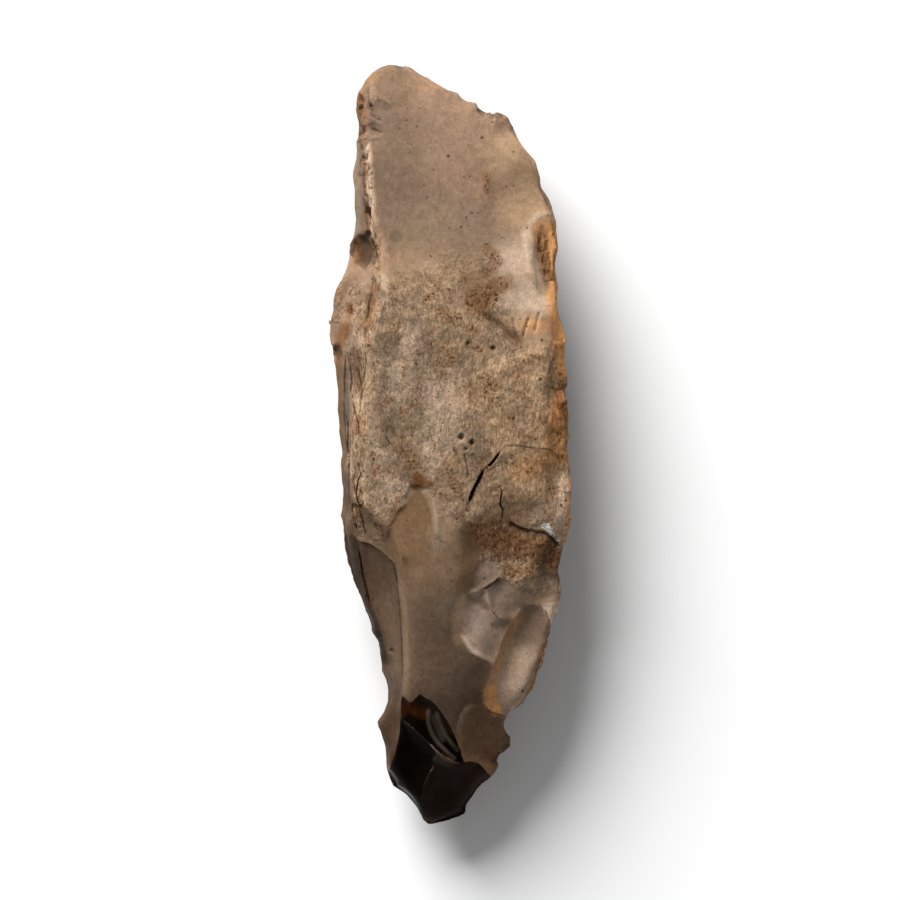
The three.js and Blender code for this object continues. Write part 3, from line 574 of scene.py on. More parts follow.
# Natural specks: x, y, radius.
SPECKS = (
    (417, 129, 1.2), (412, 147, 1.2), (410, 155, 1.0), (404, 177, 1.1), (424, 188, 1.2), (435, 197, 1.1),
    (424, 213, 1.0), (461, 206, 1.2), (466, 220, 1.0), (482, 140, 1.9), (465, 118, 1.1), (468, 148, 1.1),
    (513, 154, 1.2), (487, 194, 1.3), (493, 194, 1.1), (506, 188, 1.1), (426, 302, 1.3), (493, 349, 2.0),
    (472, 443, 2.2), (461, 437.5, 2.0), (497, 303, 1.2), (451, 568, 1.4), (452, 580, 1.3), (439, 590, 1.1),
    (391, 650, 1.3), (519, 688, 1.0), (484, 577, 1.2), (361, 108, 2.0), (363, 159, 1.3), (366, 166, 1.2),
    (361, 176, 1.4), (369, 213, 1.4), (368, 235, 1.6), (349, 312, 1.6), (500, 538, 1.2), (492, 549, 1.3),
    (498, 561, 1.2), (374, 636, 1.6), (468, 344, 1.4), (441, 540, 1.0), (455, 262, 1.0), (431, 258, 1.0),
)

# The outline of the white crystals in the step, whose near white colour also paints their glint.
WHITE_CRYSTALS_AND_GLINT = (
    (540, 525), (543, 522), (548, 523), (550.5, 527.5), (553.5, 532), (557, 537.5), (559, 542), (555, 539.5),
    (550.5, 534.5), (546, 530.5), (542, 528),
)

# Where the skins change down the sheet: from and to.
ROUGHER = (258, 325)
SIDES_SMOOTHER = (690, 640)
SIDES_DARKER = (500, 590)

# Colours of the marks that the material draws (sRGB, 0 to 1), as they look in daylight. There are three exceptions:
# the hollow colour is painted shade in the hollows, the dark line colour along the steps paints their shadow, and
# the near white of the crystals also paints their glint.
MARKS = {
    "rusty ground": (0.50, 0.35, 0.22),
    "rusty grain": (0.43, 0.26, 0.13),
    "dark grain": (0.22, 0.14, 0.085),
    "crackle": (0.25, 0.18, 0.125),
    "torn side": (0.44, 0.30, 0.19),
    "torn gap": (0.19, 0.115, 0.065),
    # Painted shade, laid where the surface lies below its surroundings.
    "hollow": (0.25, 0.175, 0.115),
    "dark line": (0.19, 0.13, 0.08),
    "light line": (0.68, 0.59, 0.49),
    "light line on fresh flint": (0.3, 0.25, 0.2),
    "crack": (0.06, 0.04, 0.025),
    # Near white, broken by a grainy pattern in the material, paints the crystals' glint as well as their colour.
    "crystal_and_glint": (0.98, 0.965, 0.94),
}

# Tones that the material multiplies a colour with.
COOL = (0.98, 0.98, 1.06)
ROSY = (1.08, 1.02, 1.03)
VEIN = (0.62, 0.57, 0.52)
THREAD = (1.34, 1.32, 1.28)
WORN = (1.4, 1.36, 1.3)

# Noises in the material: width of the lumps in millimetres, detail, roughness, distortion, and whether it
# is drawn out along the stone.
Noise = namedtuple("Noise", "width detail roughness distortion drawn_out")
NOISES = {
    "fine": Noise(0.9, 4.0, 0.6, 0.0, False),
    "wobble": Noise(1.4, 4.0, 0.65, 0.0, False),
    "drift": Noise(5, 5.0, 0.62, 0.0, False),
    "cloud": Noise(8, 5.0, 0.62, 0.5, False),
    "cool": Noise(10, 4.0, 0.6, 0.4, False),
    "mottle": Noise(1.7, 5.0, 0.68, 0.2, False),
    "patches": Noise(4, 4.0, 0.6, 0.6, False),
    "rosy": Noise(7, 4.0, 0.6, 0.6, False),
    "streaks": Noise(0.62, 4.0, 0.7, 0.4, True),
    "grit": Noise(0.42, 3.0, 0.7, 0.0, False),
    "clusters": Noise(6, 4.0, 0.62, 0.4, False),
    "grains": Noise(0.75, 3.0, 0.65, 0.0, False),
    "torn": Noise(0.9, 4.0, 0.7, 0.6, True),
    "fresh flint": Noise(3, 3.0, 0.5, 0.0, True),
}

# Scattered dark specks: width of a cell in millimetres, share of the cells without one, radius as a share
# of the width, strength.
SCATTERED = (
    (1.6, 0.8, 0.17, 0.6),
    (2.4, 0.8, 0.15, 0.75),
    (4.2, 0.78, 0.12, 0.85),
)

# ---------------------------------------------------------------------------
# Limits and fixed values
# ---------------------------------------------------------------------------

TINY = 1e-9  # keeps a division off zero
FAR = 99.0  # a distance in plan units that stands for nowhere near
LOWER_PART = 530  # scars wholly below this line of the sheet are struck into evened ground
RING_STEP = 1.5  # plan units between the points that the sides are fitted to
SIDE_BAND = 20.0  # plan units from the outline to the innermost points that are moved
MOST_MOVED = 6.0  # the most that a side is moved, in plan units

MERGE_DISTANCE = 0.001 * MM
SOLE_HEIGHT = -0.02 * MM  # just below the floor, so that the floor never shows through
SOLE_PART = (0.35 * MM, 0.8 * MM)  # heights between which the sole gives way to the sides
RISING_PART = (4 * MM, 18 * MM)  # heights between which the sides take up the rises
CRACK_BANDS = (2.4, 1.4)  # plan units round the cracks, one band for each round of splitting
CRACKED_PART = 8 * MM  # the cracks lie above this height
LONGEST_AT_CRACK = 0.2 * MM
TRIANGLE_LIMIT = 200000

RELIEF_KINDS = ("Grain", "Lump", "Crumb", "Swell", "Flake")
SKIN_STRETCH, COLOUR_STRETCH = 0.5, 0.4  # how fast drawn-out patterns change along the stone, 1 being as across it
REFLECTION = 0.02  # low, so that the steep sides don't mirror the white floor
FRESH_ROUGHNESS = 0.28

# The studio, in metres where nothing else is said.
FLOOR_RADIUS = 15.0
WALL_RADIUS, WALL_HEIGHT = 14.9, 3.5
FLOOR_GREY = 0.6  # what the floor gives back to the stone
LAMP_DISTANCE = 2.0
SENSOR_WIDTH = 36.0  # millimetres
CLIP = (0.01, 60.0)
SHEET_MIDDLE = 450.0  # the line of the sheet that the camera stands over


def srgb_to_linear(colour):
    c = np.asarray(colour, float)
    return np.where(c <= 0.04045, c / 12.92, ((c + 0.055) / 1.055) ** 2.4)


# ---------------------------------------------------------------------------
# Settings
# ---------------------------------------------------------------------------


class FlintStoneSettings(bpy.types.PropertyGroup):
    voxel: FloatProperty(
        name="Mesh step", description="Spacing of the stone's mesh before it is thinned",
        default=0.38 * MM, min=0.1 * MM, unit="LENGTH", precision=5,
    )
    triangles: IntProperty(
        name="Triangles", description="Most triangles that the thinned stone keeps",
        default=176000, min=10000, max=199000,
    )
    keep_above: FloatProperty(
        name="Detail above",
        description="Faces that point up more than this keep all their detail, 1 being straight up",
        default=0.45, min=-1.0, max=1.0,
    )
    grain_height: FloatProperty(
        name="Grain height", description="Height of the grains in the rough natural skin",
        default=0.1 * MM, min=0.0, unit="LENGTH", precision=5,
    )
    grain_size: FloatProperty(
        name="Grain size", description="Width of the grains in the rough natural skin",
        default=0.9 * MM, min=0.1 * MM, unit="LENGTH", precision=5,
    )
    lump_height: FloatProperty(
        name="Lump height", description="Height of the lumps and peeled layers of the rough natural skin",
        default=0.16 * MM, min=0.0, unit="LENGTH", precision=5,
    )
    lump_size: FloatProperty(
        name="Lump size", description="Width of the lumps in the rough natural skin",
        default=4.0 * MM, min=0.1 * MM, unit="LENGTH", precision=5,
    )
    flake_height: FloatProperty(
        name="Flake height", description="Depth of the small flake scars on the sides",
        default=0.5 * MM, min=0.0, unit="LENGTH", precision=5,
    )
    flake_size: FloatProperty(
        name="Flake size", description="Width of the small flake scars on the sides",
        default=7.0 * MM, min=0.1 * MM, unit="LENGTH", precision=5,
    )
    crumb_height: FloatProperty(
        name="Crumb height", description="Height of the crumbs along the broken crests",
        default=0.5 * MM, min=0.0, unit="LENGTH", precision=5,
    )
    crumb_size: FloatProperty(
        name="Crumb size", description="Width of the crumbs along the broken crests",
        default=1.1 * MM, min=0.1 * MM, unit="LENGTH", precision=5,
    )
    swell_height: FloatProperty(
        name="Swell height", description="Height of the low waves in the smooth scars",
        default=0.12 * MM, min=0.0, unit="LENGTH", precision=5,
    )
    swell_size: FloatProperty(
        name="Swell size", description="Width of the low waves in the smooth scars",
        default=6.0 * MM, min=0.1 * MM, unit="LENGTH", precision=5,
    )
    spot_colour: FloatVectorProperty(
        name="Speck colour", description="Colour of the dark specks in the natural skin",
        default=(0.075, 0.042, 0.023), min=0.0, max=1.0, subtype="COLOR", size=3,
    )


class FlintStudioSettings(bpy.types.PropertyGroup):
    lens: FloatProperty(
        name="Lens", description="Focal length of the camera above the stone, in millimetres",
        default=250.0, min=20.0,
    )
    view_width: FloatProperty(
        name="View width", description="Width of the floor that the camera shows",
        default=204.0 * MM, min=10.0 * MM, unit="LENGTH",
    )
    key_strength: FloatProperty(
        name="Key strength", description="Strength of the soft lamp at the upper left",
        default=5.32, min=0.0,
    )
    key_angle: FloatProperty(
        name="Key size", description="How wide the soft lamp looks from the stone",
        default=math.radians(37.0), min=0.0, subtype="ANGLE",
    )
    key_height: FloatProperty(
        name="Key height", description="How high the soft lamp stands above the horizon",
        default=math.radians(30.0), subtype="ANGLE",
    )
    key_turn: FloatProperty(
        name="Key turn", description="Direction of the soft lamp, anticlockwise from the right",
        default=math.radians(116.0), subtype="ANGLE",
    )
    fill: FloatProperty(
        name="Fill", description="Strength of the even light from all round",
        default=0.19, min=0.0,
    )
    lift: FloatProperty(
        name="Floor lift", description="How much paler than its lighting the floor looks",
        default=0.04, min=0.0,
    )


# ---------------------------------------------------------------------------
# Measuring on the plan
# ---------------------------------------------------------------------------


def unit_length():
    """Metres in one plan unit."""
    low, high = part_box(CAD_NODE)
    return (high.y - low.y) / PLAN_SPAN


def plan_of(points):
    """Plan places of points in metres."""
    k = unit_length()
    return np.stack([PLAN_CENTRE[0] + points[:, 0] / k, PLAN_CENTRE[1] - points[:, 1] / k], 1)


def smooth(low, high, value):
    """0 at low and 1 at high, which may be the lesser of the two, with a smooth step between them."""
    t = np.clip((value - low) / (high - low), 0, 1)
    return t * t * (3 - 2 * t)


def along_path(at, path):
    """For each place: distance to the path, side of it (positive on its right), and share of its length."""
    path = np.asarray(path, float)
    steps = np.linalg.norm(np.diff(path, axis=0), axis=1)
    total = max(steps.sum(), TINY)
    best = np.full(len(at), np.inf)
    side = np.ones(len(at))
    share = np.zeros(len(at))
    run = 0.0
    for a, b, length in zip(path[:-1], path[1:], steps):
        d = b - a
        t = np.clip(((at - a) @ d) / max(length * length, TINY), 0, 1)
        off = at - (a + t[:, None] * d)
        far = np.hypot(off[:, 0], off[:, 1])
        nearer = far < best
        # y runs down the sheet, so this is positive on the right-hand side of the path.
        turn = d[0] * off[:, 1] - d[1] * off[:, 0]
        best = np.where(nearer, far, best)
        side = np.where(nearer, np.where(turn >= 0, 1.0, -1.0), side)
        share = np.where(nearer, (run + t * length) / total, share)
        run += length
    return best, side, share


def inside_distance(at, outline):
    """Distance to a closed outline, positive inside it."""
    ring = np.asarray(outline, float)
    far, _, _ = along_path(at, np.vstack([ring, ring[:1]]))
    inside = np.zeros(len(at), bool)
    for a, b in zip(ring, np.roll(ring, -1, 0)):
        crosses = (a[1] > at[:, 1]) != (b[1] > at[:, 1])
        x = a[0] + (at[:, 1] - a[1]) * (b[0] - a[0]) / (b[1] - a[1] if b[1] != a[1] else TINY)
        inside ^= crosses & (at[:, 0] < x)
    return np.where(inside, far, -far)


def faded_ends(share, low, high):
    """0 at both ends of a path, and 1 from a share of its length on."""
    return smooth(low, high, np.minimum(share, 1 - share))


def taper(share, least):
    """1 along the middle of a line, and less towards both ends."""
    return np.clip(np.minimum(share, 1 - share) * 6, least, 1)


def lines_distance(at, lines):
    """Distance to the nearest of several lines, less its half width, which tapers at both ends."""
    best = np.full(len(at), FAR)
    for path, half, *_ in lines:
        far, _, share = along_path(at, path)
        best = np.minimum(best, far - half * taper(share, 0.15))
    return best


def dish(at, x, y, breadth, length, turn=0):
    """A leaning oval dish: 1 in its middle and 0 from its rim on."""
    a = math.radians(turn)
    dx, dy = at[:, 0] - x, at[:, 1] - y
    across = dx * math.cos(a) + dy * math.sin(a)
    down = -dx * math.sin(a) + dy * math.cos(a)
    return np.clip(1 - ((across / breadth) ** 2 + (down / length) ** 2), 0, 1)


# ---------------------------------------------------------------------------
# Meshes
# ---------------------------------------------------------------------------


def read_points(mesh):
    co = np.empty(len(mesh.vertices) * 3, np.float32)
    mesh.vertices.foreach_get("co", co)
    return co.reshape(-1, 3).astype(float)


def write_points(mesh, points):
    mesh.vertices.foreach_set("co", points.astype(np.float32).ravel())
    mesh.update()


def read_normals(mesh):
    no = np.empty(len(mesh.vertices) * 3, np.float32)
    mesh.vertex_normals.foreach_get("vector", no)
    return no.reshape(-1, 3).astype(float)


def read_edges(mesh):
    e = np.empty(len(mesh.edges) * 2, np.int32)
    mesh.edges.foreach_get("vertices", e)
    return e.reshape(-1, 2)


def put_values(mesh, name, values):
    """Stores one number, or one colour, for each vertex."""
    old = mesh.attributes.get(name)
    if old:
        mesh.attributes.remove(old)
    if values.ndim == 1:
        mesh.attributes.new(name, "FLOAT", "POINT").data.foreach_set("value", values.astype(np.float32))
    else:
        rgba = np.concatenate([values, np.ones((len(values), 1))], 1).astype(np.float32)
        mesh.attributes.new(name, "FLOAT_COLOR", "POINT").data.foreach_set("color", rgba.ravel())


def spread(values, edges, weights, amount):
    """One pass of weighted averaging with the neighbours."""
    n = len(values)
    i, j = edges[:, 0], edges[:, 1]
    total = np.bincount(i, weights, n) + np.bincount(j, weights, n)
    total = np.maximum(total, TINY)
    out = np.empty_like(values)
    for k in range(values.shape[1]):
        gathered = np.bincount(i, weights * values[j, k], n) + np.bincount(j, weights * values[i, k], n)
        out[:, k] = values[:, k] + amount * (gathered / total - values[:, k])
    return out


def soften_facets(mesh, rounds, passes, sharpness):
    """Smooths the flats of the mesh and leaves its ridges standing."""
    edges = read_edges(mesh)
    for _ in range(rounds):
        normals = read_normals(mesh)
        turn = 1 - np.einsum("ij,ij->i", normals[edges[:, 0]], normals[edges[:, 1]])
        weights = np.exp(-turn / sharpness)
        points = read_points(mesh)
        for _ in range(passes):
            points = spread(points, edges, weights, 0.6)
        write_points(mesh, points)


def rolling_mean(values, reach):
    """Each row averaged with its neighbours up to reach rows away, round a closed ring."""
    return sum(np.roll(values, i, 0) for i in range(-reach, reach + 1)) / (2 * reach + 1)


def fit_outline(mesh):
    """Moves the sides in or out a little, so that the outline from above follows the plan."""
    points = read_points(mesh)
    at = plan_of(points)
    corners = np.asarray(OUTLINE, float)
    ring, out = [], []
    for a, b in zip(corners, np.roll(corners, -1, 0)):
        length = np.hypot(*(b - a))
        count = max(1, int(length / RING_STEP))
        way = (b - a) / length
        for i in range(count):
            ring.append(a + (b - a) * i / count)
            out.append((way[1], -way[0]))
    ring, out = np.array(ring), np.array(out)
    out = rolling_mean(out, 6)
    out /= np.linalg.norm(out, axis=1)[:, None]
    tree = KDTree(len(ring))
    for i, (x, y) in enumerate(ring):
        tree.insert((x, y, 0), i)
    tree.balance()
    close = np.flatnonzero(inside_distance(at, OUTLINE) < SIDE_BAND)
    nearest = np.array([tree.find((*at[i], 0))[1] for i in close])
    outside = np.einsum("ij,ij->i", at[close] - ring[nearest], out[nearest])
    reach = np.full(len(ring), -SIDE_BAND)
    np.maximum.at(reach, nearest, outside)
    reach = np.maximum(reach, np.maximum(np.roll(reach, 1), np.roll(reach, -1)))
    reach = np.clip(reach, -MOST_MOVED, MOST_MOVED)
    reach = rolling_mean(reach[:, None], 1)[:, 0]
    share = smooth(-SIDE_BAND, -3, outside)
    shift = -(out * reach[:, None])[nearest] * share[:, None]
    k = unit_length()
    points[close, 0] += shift[:, 0] * k
    points[close, 1] -= shift[:, 1] * k
    write_points(mesh, points)


def near_outline(at, outline, margin=0.0):
    """Which places lie in the box round an outline, widened by a margin."""
    ring = np.asarray(outline, float)
    return np.all((at > ring.min(0) - margin) & (at < ring.max(0) + margin), 1)


def scar_lean(at, scar):
    """How much of a scar's depth is left at each place: 1 in its middle, and more or less where it leans."""
    return np.clip(1 + (at - np.mean(scar.outline, 0)) @ np.array(scar.lean), 0, 2)


def lift_ground(mesh):
    """Raises the right-hand side of the upper face, which the plain solid rounds off."""
    points = read_points(mesh)
    at = plan_of(points)
    rise = np.zeros(len(points))
    for path, height, reach in RISES:
        far, _, share = along_path(at, path)
        rise += height * faded_ends(share, 0, 0.15) * np.clip(1 - far / reach, 0, 1) ** 2
    points[:, 2] += rise * MM * smooth(*RISING_PART, points[:, 2])
    write_points(mesh, points)


def calm(mesh, passes):
    """Evens out the plain solid's own dishes on the lower half, where finer scars are struck next."""
    points, up = read_points(mesh), read_normals(mesh)[:, 2]
    at = plan_of(points)
    ground = np.zeros(len(points))
    for outline in [SMOOTH_MIDDLE] + [scar.outline for scar in SCARS]:
        if min(y for _, y in outline) > LOWER_PART:
            close = near_outline(at, outline, 12)
            cover = smooth(-10, 4, inside_distance(at[close], outline))
            ground[close] = np.maximum(ground[close], cover)
    ground *= smooth(-0.1, 0.35, up)
    edges = read_edges(mesh)
    weights = np.ones(len(edges))
    for _ in range(passes):
        points += (spread(points, edges, weights, 0.8) - points) * ground[:, None]
    write_points(mesh, points)


def knap(mesh):
    """Strikes the flake scars and cuts the hollows, pits, steps, ridges and furrows."""
    points, normals = read_points(mesh), read_normals(mesh)
    at = plan_of(points)
    facing = smooth(-0.25, 0.1, normals[:, 2])
    drop = np.zeros(len(points))
    for scar in SCARS:
        close = near_outline(at, scar.outline)
        inner = at[close]
        slope = np.clip(inside_distance(inner, scar.outline) / scar.breadth, 0, 1)
        drop[close] += scar.depth * (1 - (1 - slope) ** 2) * scar_lean(inner, scar)
    for x, y, breadth, length, turn, depth in HOLLOWS:
        drop += depth * dish(at, x, y, breadth, length, turn)
    for x, y, radius, depth in PITS:
        drop += depth * dish(at, x, y, radius, radius) ** 0.7
    for path, height, reach in STEPS:
        far, side, share = along_path(at, path)
        foot = np.where(side > 0, np.clip(1 - far / reach, 0, 1) ** 1.5, 0)
        drop += height * faded_ends(share, 0, 0.1) * foot
    for path, half, height in RIDGES:
        far, _, share = along_path(at, path)
        drop -= height * smooth(0, 1, 1 - far / half) * faded_ends(share, 0, 0.12)
    for path, half, depth in FURROWS:
        far, _, share = along_path(at, path)
        drop += depth * smooth(0, 1, 1 - far / half) * faded_ends(share, -0.02, 0.15)
    # The blows fall from above on the upper face, and from outside on the steep sides.
    way = normals.copy()
    way[:, 2] = np.maximum(way[:, 2], 0) + 0.4
    way /= np.linalg.norm(way, axis=1)[:, None]
    write_points(mesh, points - way * (drop * facing * MM)[:, None])


def flatten_sole(mesh):
    """Lays the underside flat again, a hair below zero, where the floor is."""
    points, up = read_points(mesh), read_normals(mesh)[:, 2]
    flat = (1 - smooth(*SOLE_PART, points[:, 2])) * smooth(-0.4, -0.8, up)
    points[:, 2] += (SOLE_HEIGHT - points[:, 2]) * flat
    points[:, 2] = np.maximum(points[:, 2], SOLE_HEIGHT)
    write_points(mesh, points)


def skin_masks(mesh):
    """Stores where the natural skin is rough, where a crest crumbles and where the sides are flaked: 0 to 1."""
    at, up = plan_of(read_points(mesh)), read_normals(mesh)[:, 2]
    top = smooth(-0.2, 0.1, up)
    rough = smooth(-16, 14, inside_distance(at, ROUGH_SKIN)) * (0.45 + 0.55 * smooth(*ROUGHER, at[:, 1])) * top
    rough = np.maximum(rough, 0.8 * (1 - top) * smooth(*SIDES_SMOOTHER, at[:, 1]))
    crumb = np.zeros(len(at))
    for path, half, strength in CRUMBLING:
        far, _, share = along_path(at, path)
        crumb = np.maximum(crumb, strength * smooth(1.15, 0.35, far / half) * faded_ends(share, -0.02, 0.06))
    crumb *= top
    flaked = smooth(0.5, 0.15, up) * smooth(-0.97, -0.8, up)
    put_values(mesh, "rough", rough)
    put_values(mesh, "crumb", crumb)
    put_values(mesh, "flaked", flaked)
    return rough


def cut_cracks(mesh):
    """Splits the faces near the cracks, then sinks the cracks."""
    bm = bmesh.new()
    bm.from_mesh(mesh)
    for width in CRACK_BANDS:
        centres = np.array([(e.verts[0].co + e.verts[1].co) / 2 for e in bm.edges])
        at = plan_of(centres)
        near = lines_distance(at, CRACKS) < width
        lengths = np.array([e.calc_length() for e in bm.edges])
        wanted = near & (centres[:, 2] > CRACKED_PART) & (lengths > LONGEST_AT_CRACK)
        edges = [e for e, w in zip(bm.edges, wanted) if w]
        bmesh.ops.subdivide_edges(bm, edges=edges, cuts=1, smooth=0.0)
        bmesh.ops.triangulate(bm, faces=[f for f in bm.faces if len(f.verts) > 3])
    bm.to_mesh(mesh)
    bm.free()
    mesh.update()
    points, normals = read_points(mesh), read_normals(mesh)
    at = plan_of(points)
    facing = smooth(-0.1, 0.1, normals[:, 2])
    drop = np.zeros(len(points))
    for path, half, depth in CRACKS:
        far, _, share = along_path(at, path)
        drop = np.maximum(drop, depth * np.clip(1.25 * (1 - far / (half * taper(share, 0.2))), 0, 1))
    write_points(mesh, points - normals * (drop * facing * MM)[:, None])


def paint(mesh):
    """Stores the colours, outlines and hollows that the material reads."""
    at, up = plan_of(read_points(mesh)), read_normals(mesh)[:, 2]
    count = len(at)
    top = smooth(-0.1, 0.2, up)
    rough = skin_masks(mesh)
    palette = {name: srgb_to_linear(rgb) for name, rgb in PALETTE.items()}

    def brushed(colours, name, cover):
        return colours + (palette[name] - colours) * cover[:, None]

    def stroked(colours, strokes):
        for name, strength, soft, half, path in strokes:
            far, _, _ = along_path(at, path)
            colours = brushed(colours, name, strength * smooth(half + soft, half - soft * 0.3, far) * top)
        return colours

    tint = brushed(np.tile(palette["skin"], (count, 1)), "rough", rough)
    fresh_tint = np.tile(palette["jet"], (count, 1))
    bare, fresh = np.full(count, -FAR), np.full(count, -FAR)
    covers = []
    for scar in SCARS:
        close = near_outline(at, scar.outline, 14)
        inside = np.full(count, -FAR)
        inside[close] = inside_distance(at[close], scar.outline)
        cover = np.zeros(count)
        cover[close] = smooth(-0.9, 0.9, inside[close]) * np.minimum(scar_lean(at[close], scar), 1) * scar.strength
        covers.append((scar, cover * top))
        if scar.skin == "fresh":
            fresh = np.maximum(fresh, inside)
            fresh_tint = brushed(fresh_tint, scar.colour, cover)
        elif scar.skin == "gone":
            bare = np.maximum(bare, np.where(scar_lean(at, scar) > 0.3, inside, -FAR))
    tint = stroked(tint, GROUND_STROKES)
    for scar, cover in covers:
        if scar.skin != "fresh":
            tint = brushed(tint, scar.colour, cover)
    tint = stroked(tint, STROKES)
    # The sides, and their darker lower end.
    tint = brushed(tint, "centre", (1 - top) * 0.7)
    tint = brushed(tint, "umber", (1 - top) * 0.75 * smooth(*SIDES_DARKER, at[:, 1]))
    fresh_tint = stroked(fresh_tint, FRESH_STROKES)
    put_values(mesh, "tint", np.clip(tint, 0, 1))
    put_values(mesh, "fresh_tint", np.clip(fresh_tint, 0, 1))
    on_top = up > -0.2

    def put_distance(name, distance, elsewhere):
        """Stores a distance on the upper face in millimetres."""
        put_values(mesh, name, np.where(on_top, distance, elsewhere) * (unit_length() / MM))

    put_distance("fresh_mm", fresh, -FAR)
    put_distance("bare_mm", bare, -FAR)
    put_distance("crystal_glint_mm", inside_distance(at, WHITE_CRYSTALS_AND_GLINT), -FAR)
    put_distance("speck_mm", np.min([np.hypot(at[:, 0] - x, at[:, 1] - y) - r for x, y, r in SPECKS], 0), FAR)
    for name, lines in (("dark_mm", DARK_LINES), ("crack_mm", CRACKS), ("light_mm", LIGHT_LINES)):
        put_distance(name, lines_distance(at, lines), FAR)
    rusty = np.zeros(count)
    for path, half in RUSTY:
        rusty = np.maximum(rusty, smooth(1.5 * half, 0.3 * half, along_path(at, path)[0]))
    put_values(mesh, "rusty", rusty * top)
    put_values(mesh, "bend", bend_of(mesh))


def bend_of(mesh):
    """How far each place stands out of (positive) or lies below its surroundings, in millimetres."""
    edges = read_edges(mesh)
    points, normals = read_points(mesh), read_normals(mesh)
    weights = np.ones(len(edges))
    around = points
    for _ in range(8):
        around = spread(around, edges, weights, 0.7)
    bend = np.einsum("ij,ij->i", points - around, normals) / MM
    for _ in range(2):
        bend = spread(bend[:, None], edges, weights, 0.5)[:, 0]
    return bend


# ---------------------------------------------------------------------------
# Node helpers
# ---------------------------------------------------------------------------


def node(tree, kind, **values):
    """Adds a node with these settings. The nodes stand in rows, in the order in which they are made."""
    row, column = divmod(len(tree.nodes), 12)
    made = tree.nodes.new(kind)
    made.location = (column * 220, row * -340)
    for key, value in values.items():
        setattr(made, key, value)
    return made


def fill(made, **values):
    """Sets input sockets by name; an underscore stands for a space."""
    for key, value in values.items():
        made.inputs[key.replace("_", " ")].default_value = value
    return made


def emptied(owner):
    """The node tree of a material or world, with no nodes in it."""
    owner.use_nodes = True
    owner.node_tree.nodes.clear()
    return owner.node_tree


def math_node(tree, operation, a, b=None, clamp=False):
    made = node(tree, "ShaderNodeMath", operation=operation, use_clamp=clamp)
    for socket, value in zip(made.inputs, (a, b)):
        if isinstance(value, (int, float)):
            socket.default_value = value
        elif value is not None:
            tree.links.new(value, socket)
    return made.outputs[0]


def chained(tree, operation, first, *others):
    """One value from several sockets or numbers, taken in turn."""
    for value in others:
        first = math_node(tree, operation, first, value)
    return first


def ramp(tree, value, low, high, to_low=0.0, to_high=1.0):
    """A smooth step of value between low and high."""
    made = node(tree, "ShaderNodeMapRange", interpolation_type="SMOOTHSTEP")
    tree.links.new(value, made.inputs["Value"])
    fill(made, From_Min=low, From_Max=high, To_Min=to_low, To_Max=to_high)
    return made.outputs["Result"]


def mix_colour(tree, factor, a, b, blend="MIX"):
    """Mixes two colours, each of them a socket or a tuple in linear light."""
    made = node(tree, "ShaderNodeMix", data_type="RGBA", blend_type=blend)
    sockets = {s.identifier: s for s in made.inputs}
    for name, value in (("Factor_Float", factor), ("A_Color", a), ("B_Color", b)):
        if isinstance(value, (int, float)):
            sockets[name].default_value = value
        elif isinstance(value, tuple):
            sockets[name].default_value = (*value, 1.0)
        else:
            tree.links.new(value, sockets[name])
    return {s.identifier: s for s in made.outputs}["Result_Color"]


def mix_shader(tree, factor, a, b):
    made = node(tree, "ShaderNodeMixShader")
    for socket, value in zip(made.inputs, (factor, a, b)):
        tree.links.new(value, socket)
    return made.outputs[0]


def moved(tree, coordinates, operation, amounts):
    """Coordinates with these amounts added to them or multiplied with them."""
    made = node(tree, "ShaderNodeVectorMath", operation=operation)
    made.inputs[1].default_value = amounts
    tree.links.new(coordinates, made.inputs[0])
    return made.outputs[0]


def texture(tree, kind, coordinates, size):
    """A texture whose lumps or cells are about size metres wide, which is a number or a socket."""
    made = node(tree, kind)
    tree.links.new(coordinates, made.inputs["Vector"])
    if isinstance(size, (int, float)):
        made.inputs["Scale"].default_value = 1.0 / size
    else:
        tree.links.new(math_node(tree, "DIVIDE", 1.0, size), made.inputs["Scale"])
    return made


def noise(tree, coordinates, size, detail, roughness, distortion=0.0):
    made = texture(tree, "ShaderNodeTexNoise", coordinates, size)
    fill(made, Detail=detail, Roughness=roughness, Distortion=distortion)
    return made.outputs[0]


def cells(tree, coordinates, size):
    """Random cells: the distance to the middle of each, as a share of size, and its own colour."""
    made = texture(tree, "ShaderNodeTexVoronoi", coordinates, size)
    return made.outputs["Distance"], made.outputs["Color"]


def cell_numbers(tree, colour):
    """Numbers from 0 to 1 out of a cell's own colour."""
    split = node(tree, "ShaderNodeSeparateColor")
    tree.links.new(colour, split.inputs[0])
    return split.outputs[0], split.outputs[1]


# ---------------------------------------------------------------------------
# The stone's skin, as Geometry Nodes
# ---------------------------------------------------------------------------


def bowls(tree, coordinates, size):
    """Shallow bowls that meet in sharp ridges, like small flake scars: about -0.5 to 0.5."""
    far, _ = cells(tree, coordinates, size)
    return math_node(tree, "SUBTRACT", chained(tree, "MULTIPLY", far, far, 1.6), 0.5)


def peel_steps(tree, coordinates):
    """Thin layers of the natural skin that have come away in steps: 0 to 1."""
    field = noise(tree, coordinates, 5.5 * MM, 6.0, 0.62, 0.8)
    first, second = ramp(tree, field, 0.455, 0.475), ramp(tree, field, 0.56, 0.575)
    return math_node(tree, "MULTIPLY", math_node(tree, "ADD", first, second), 0.5)


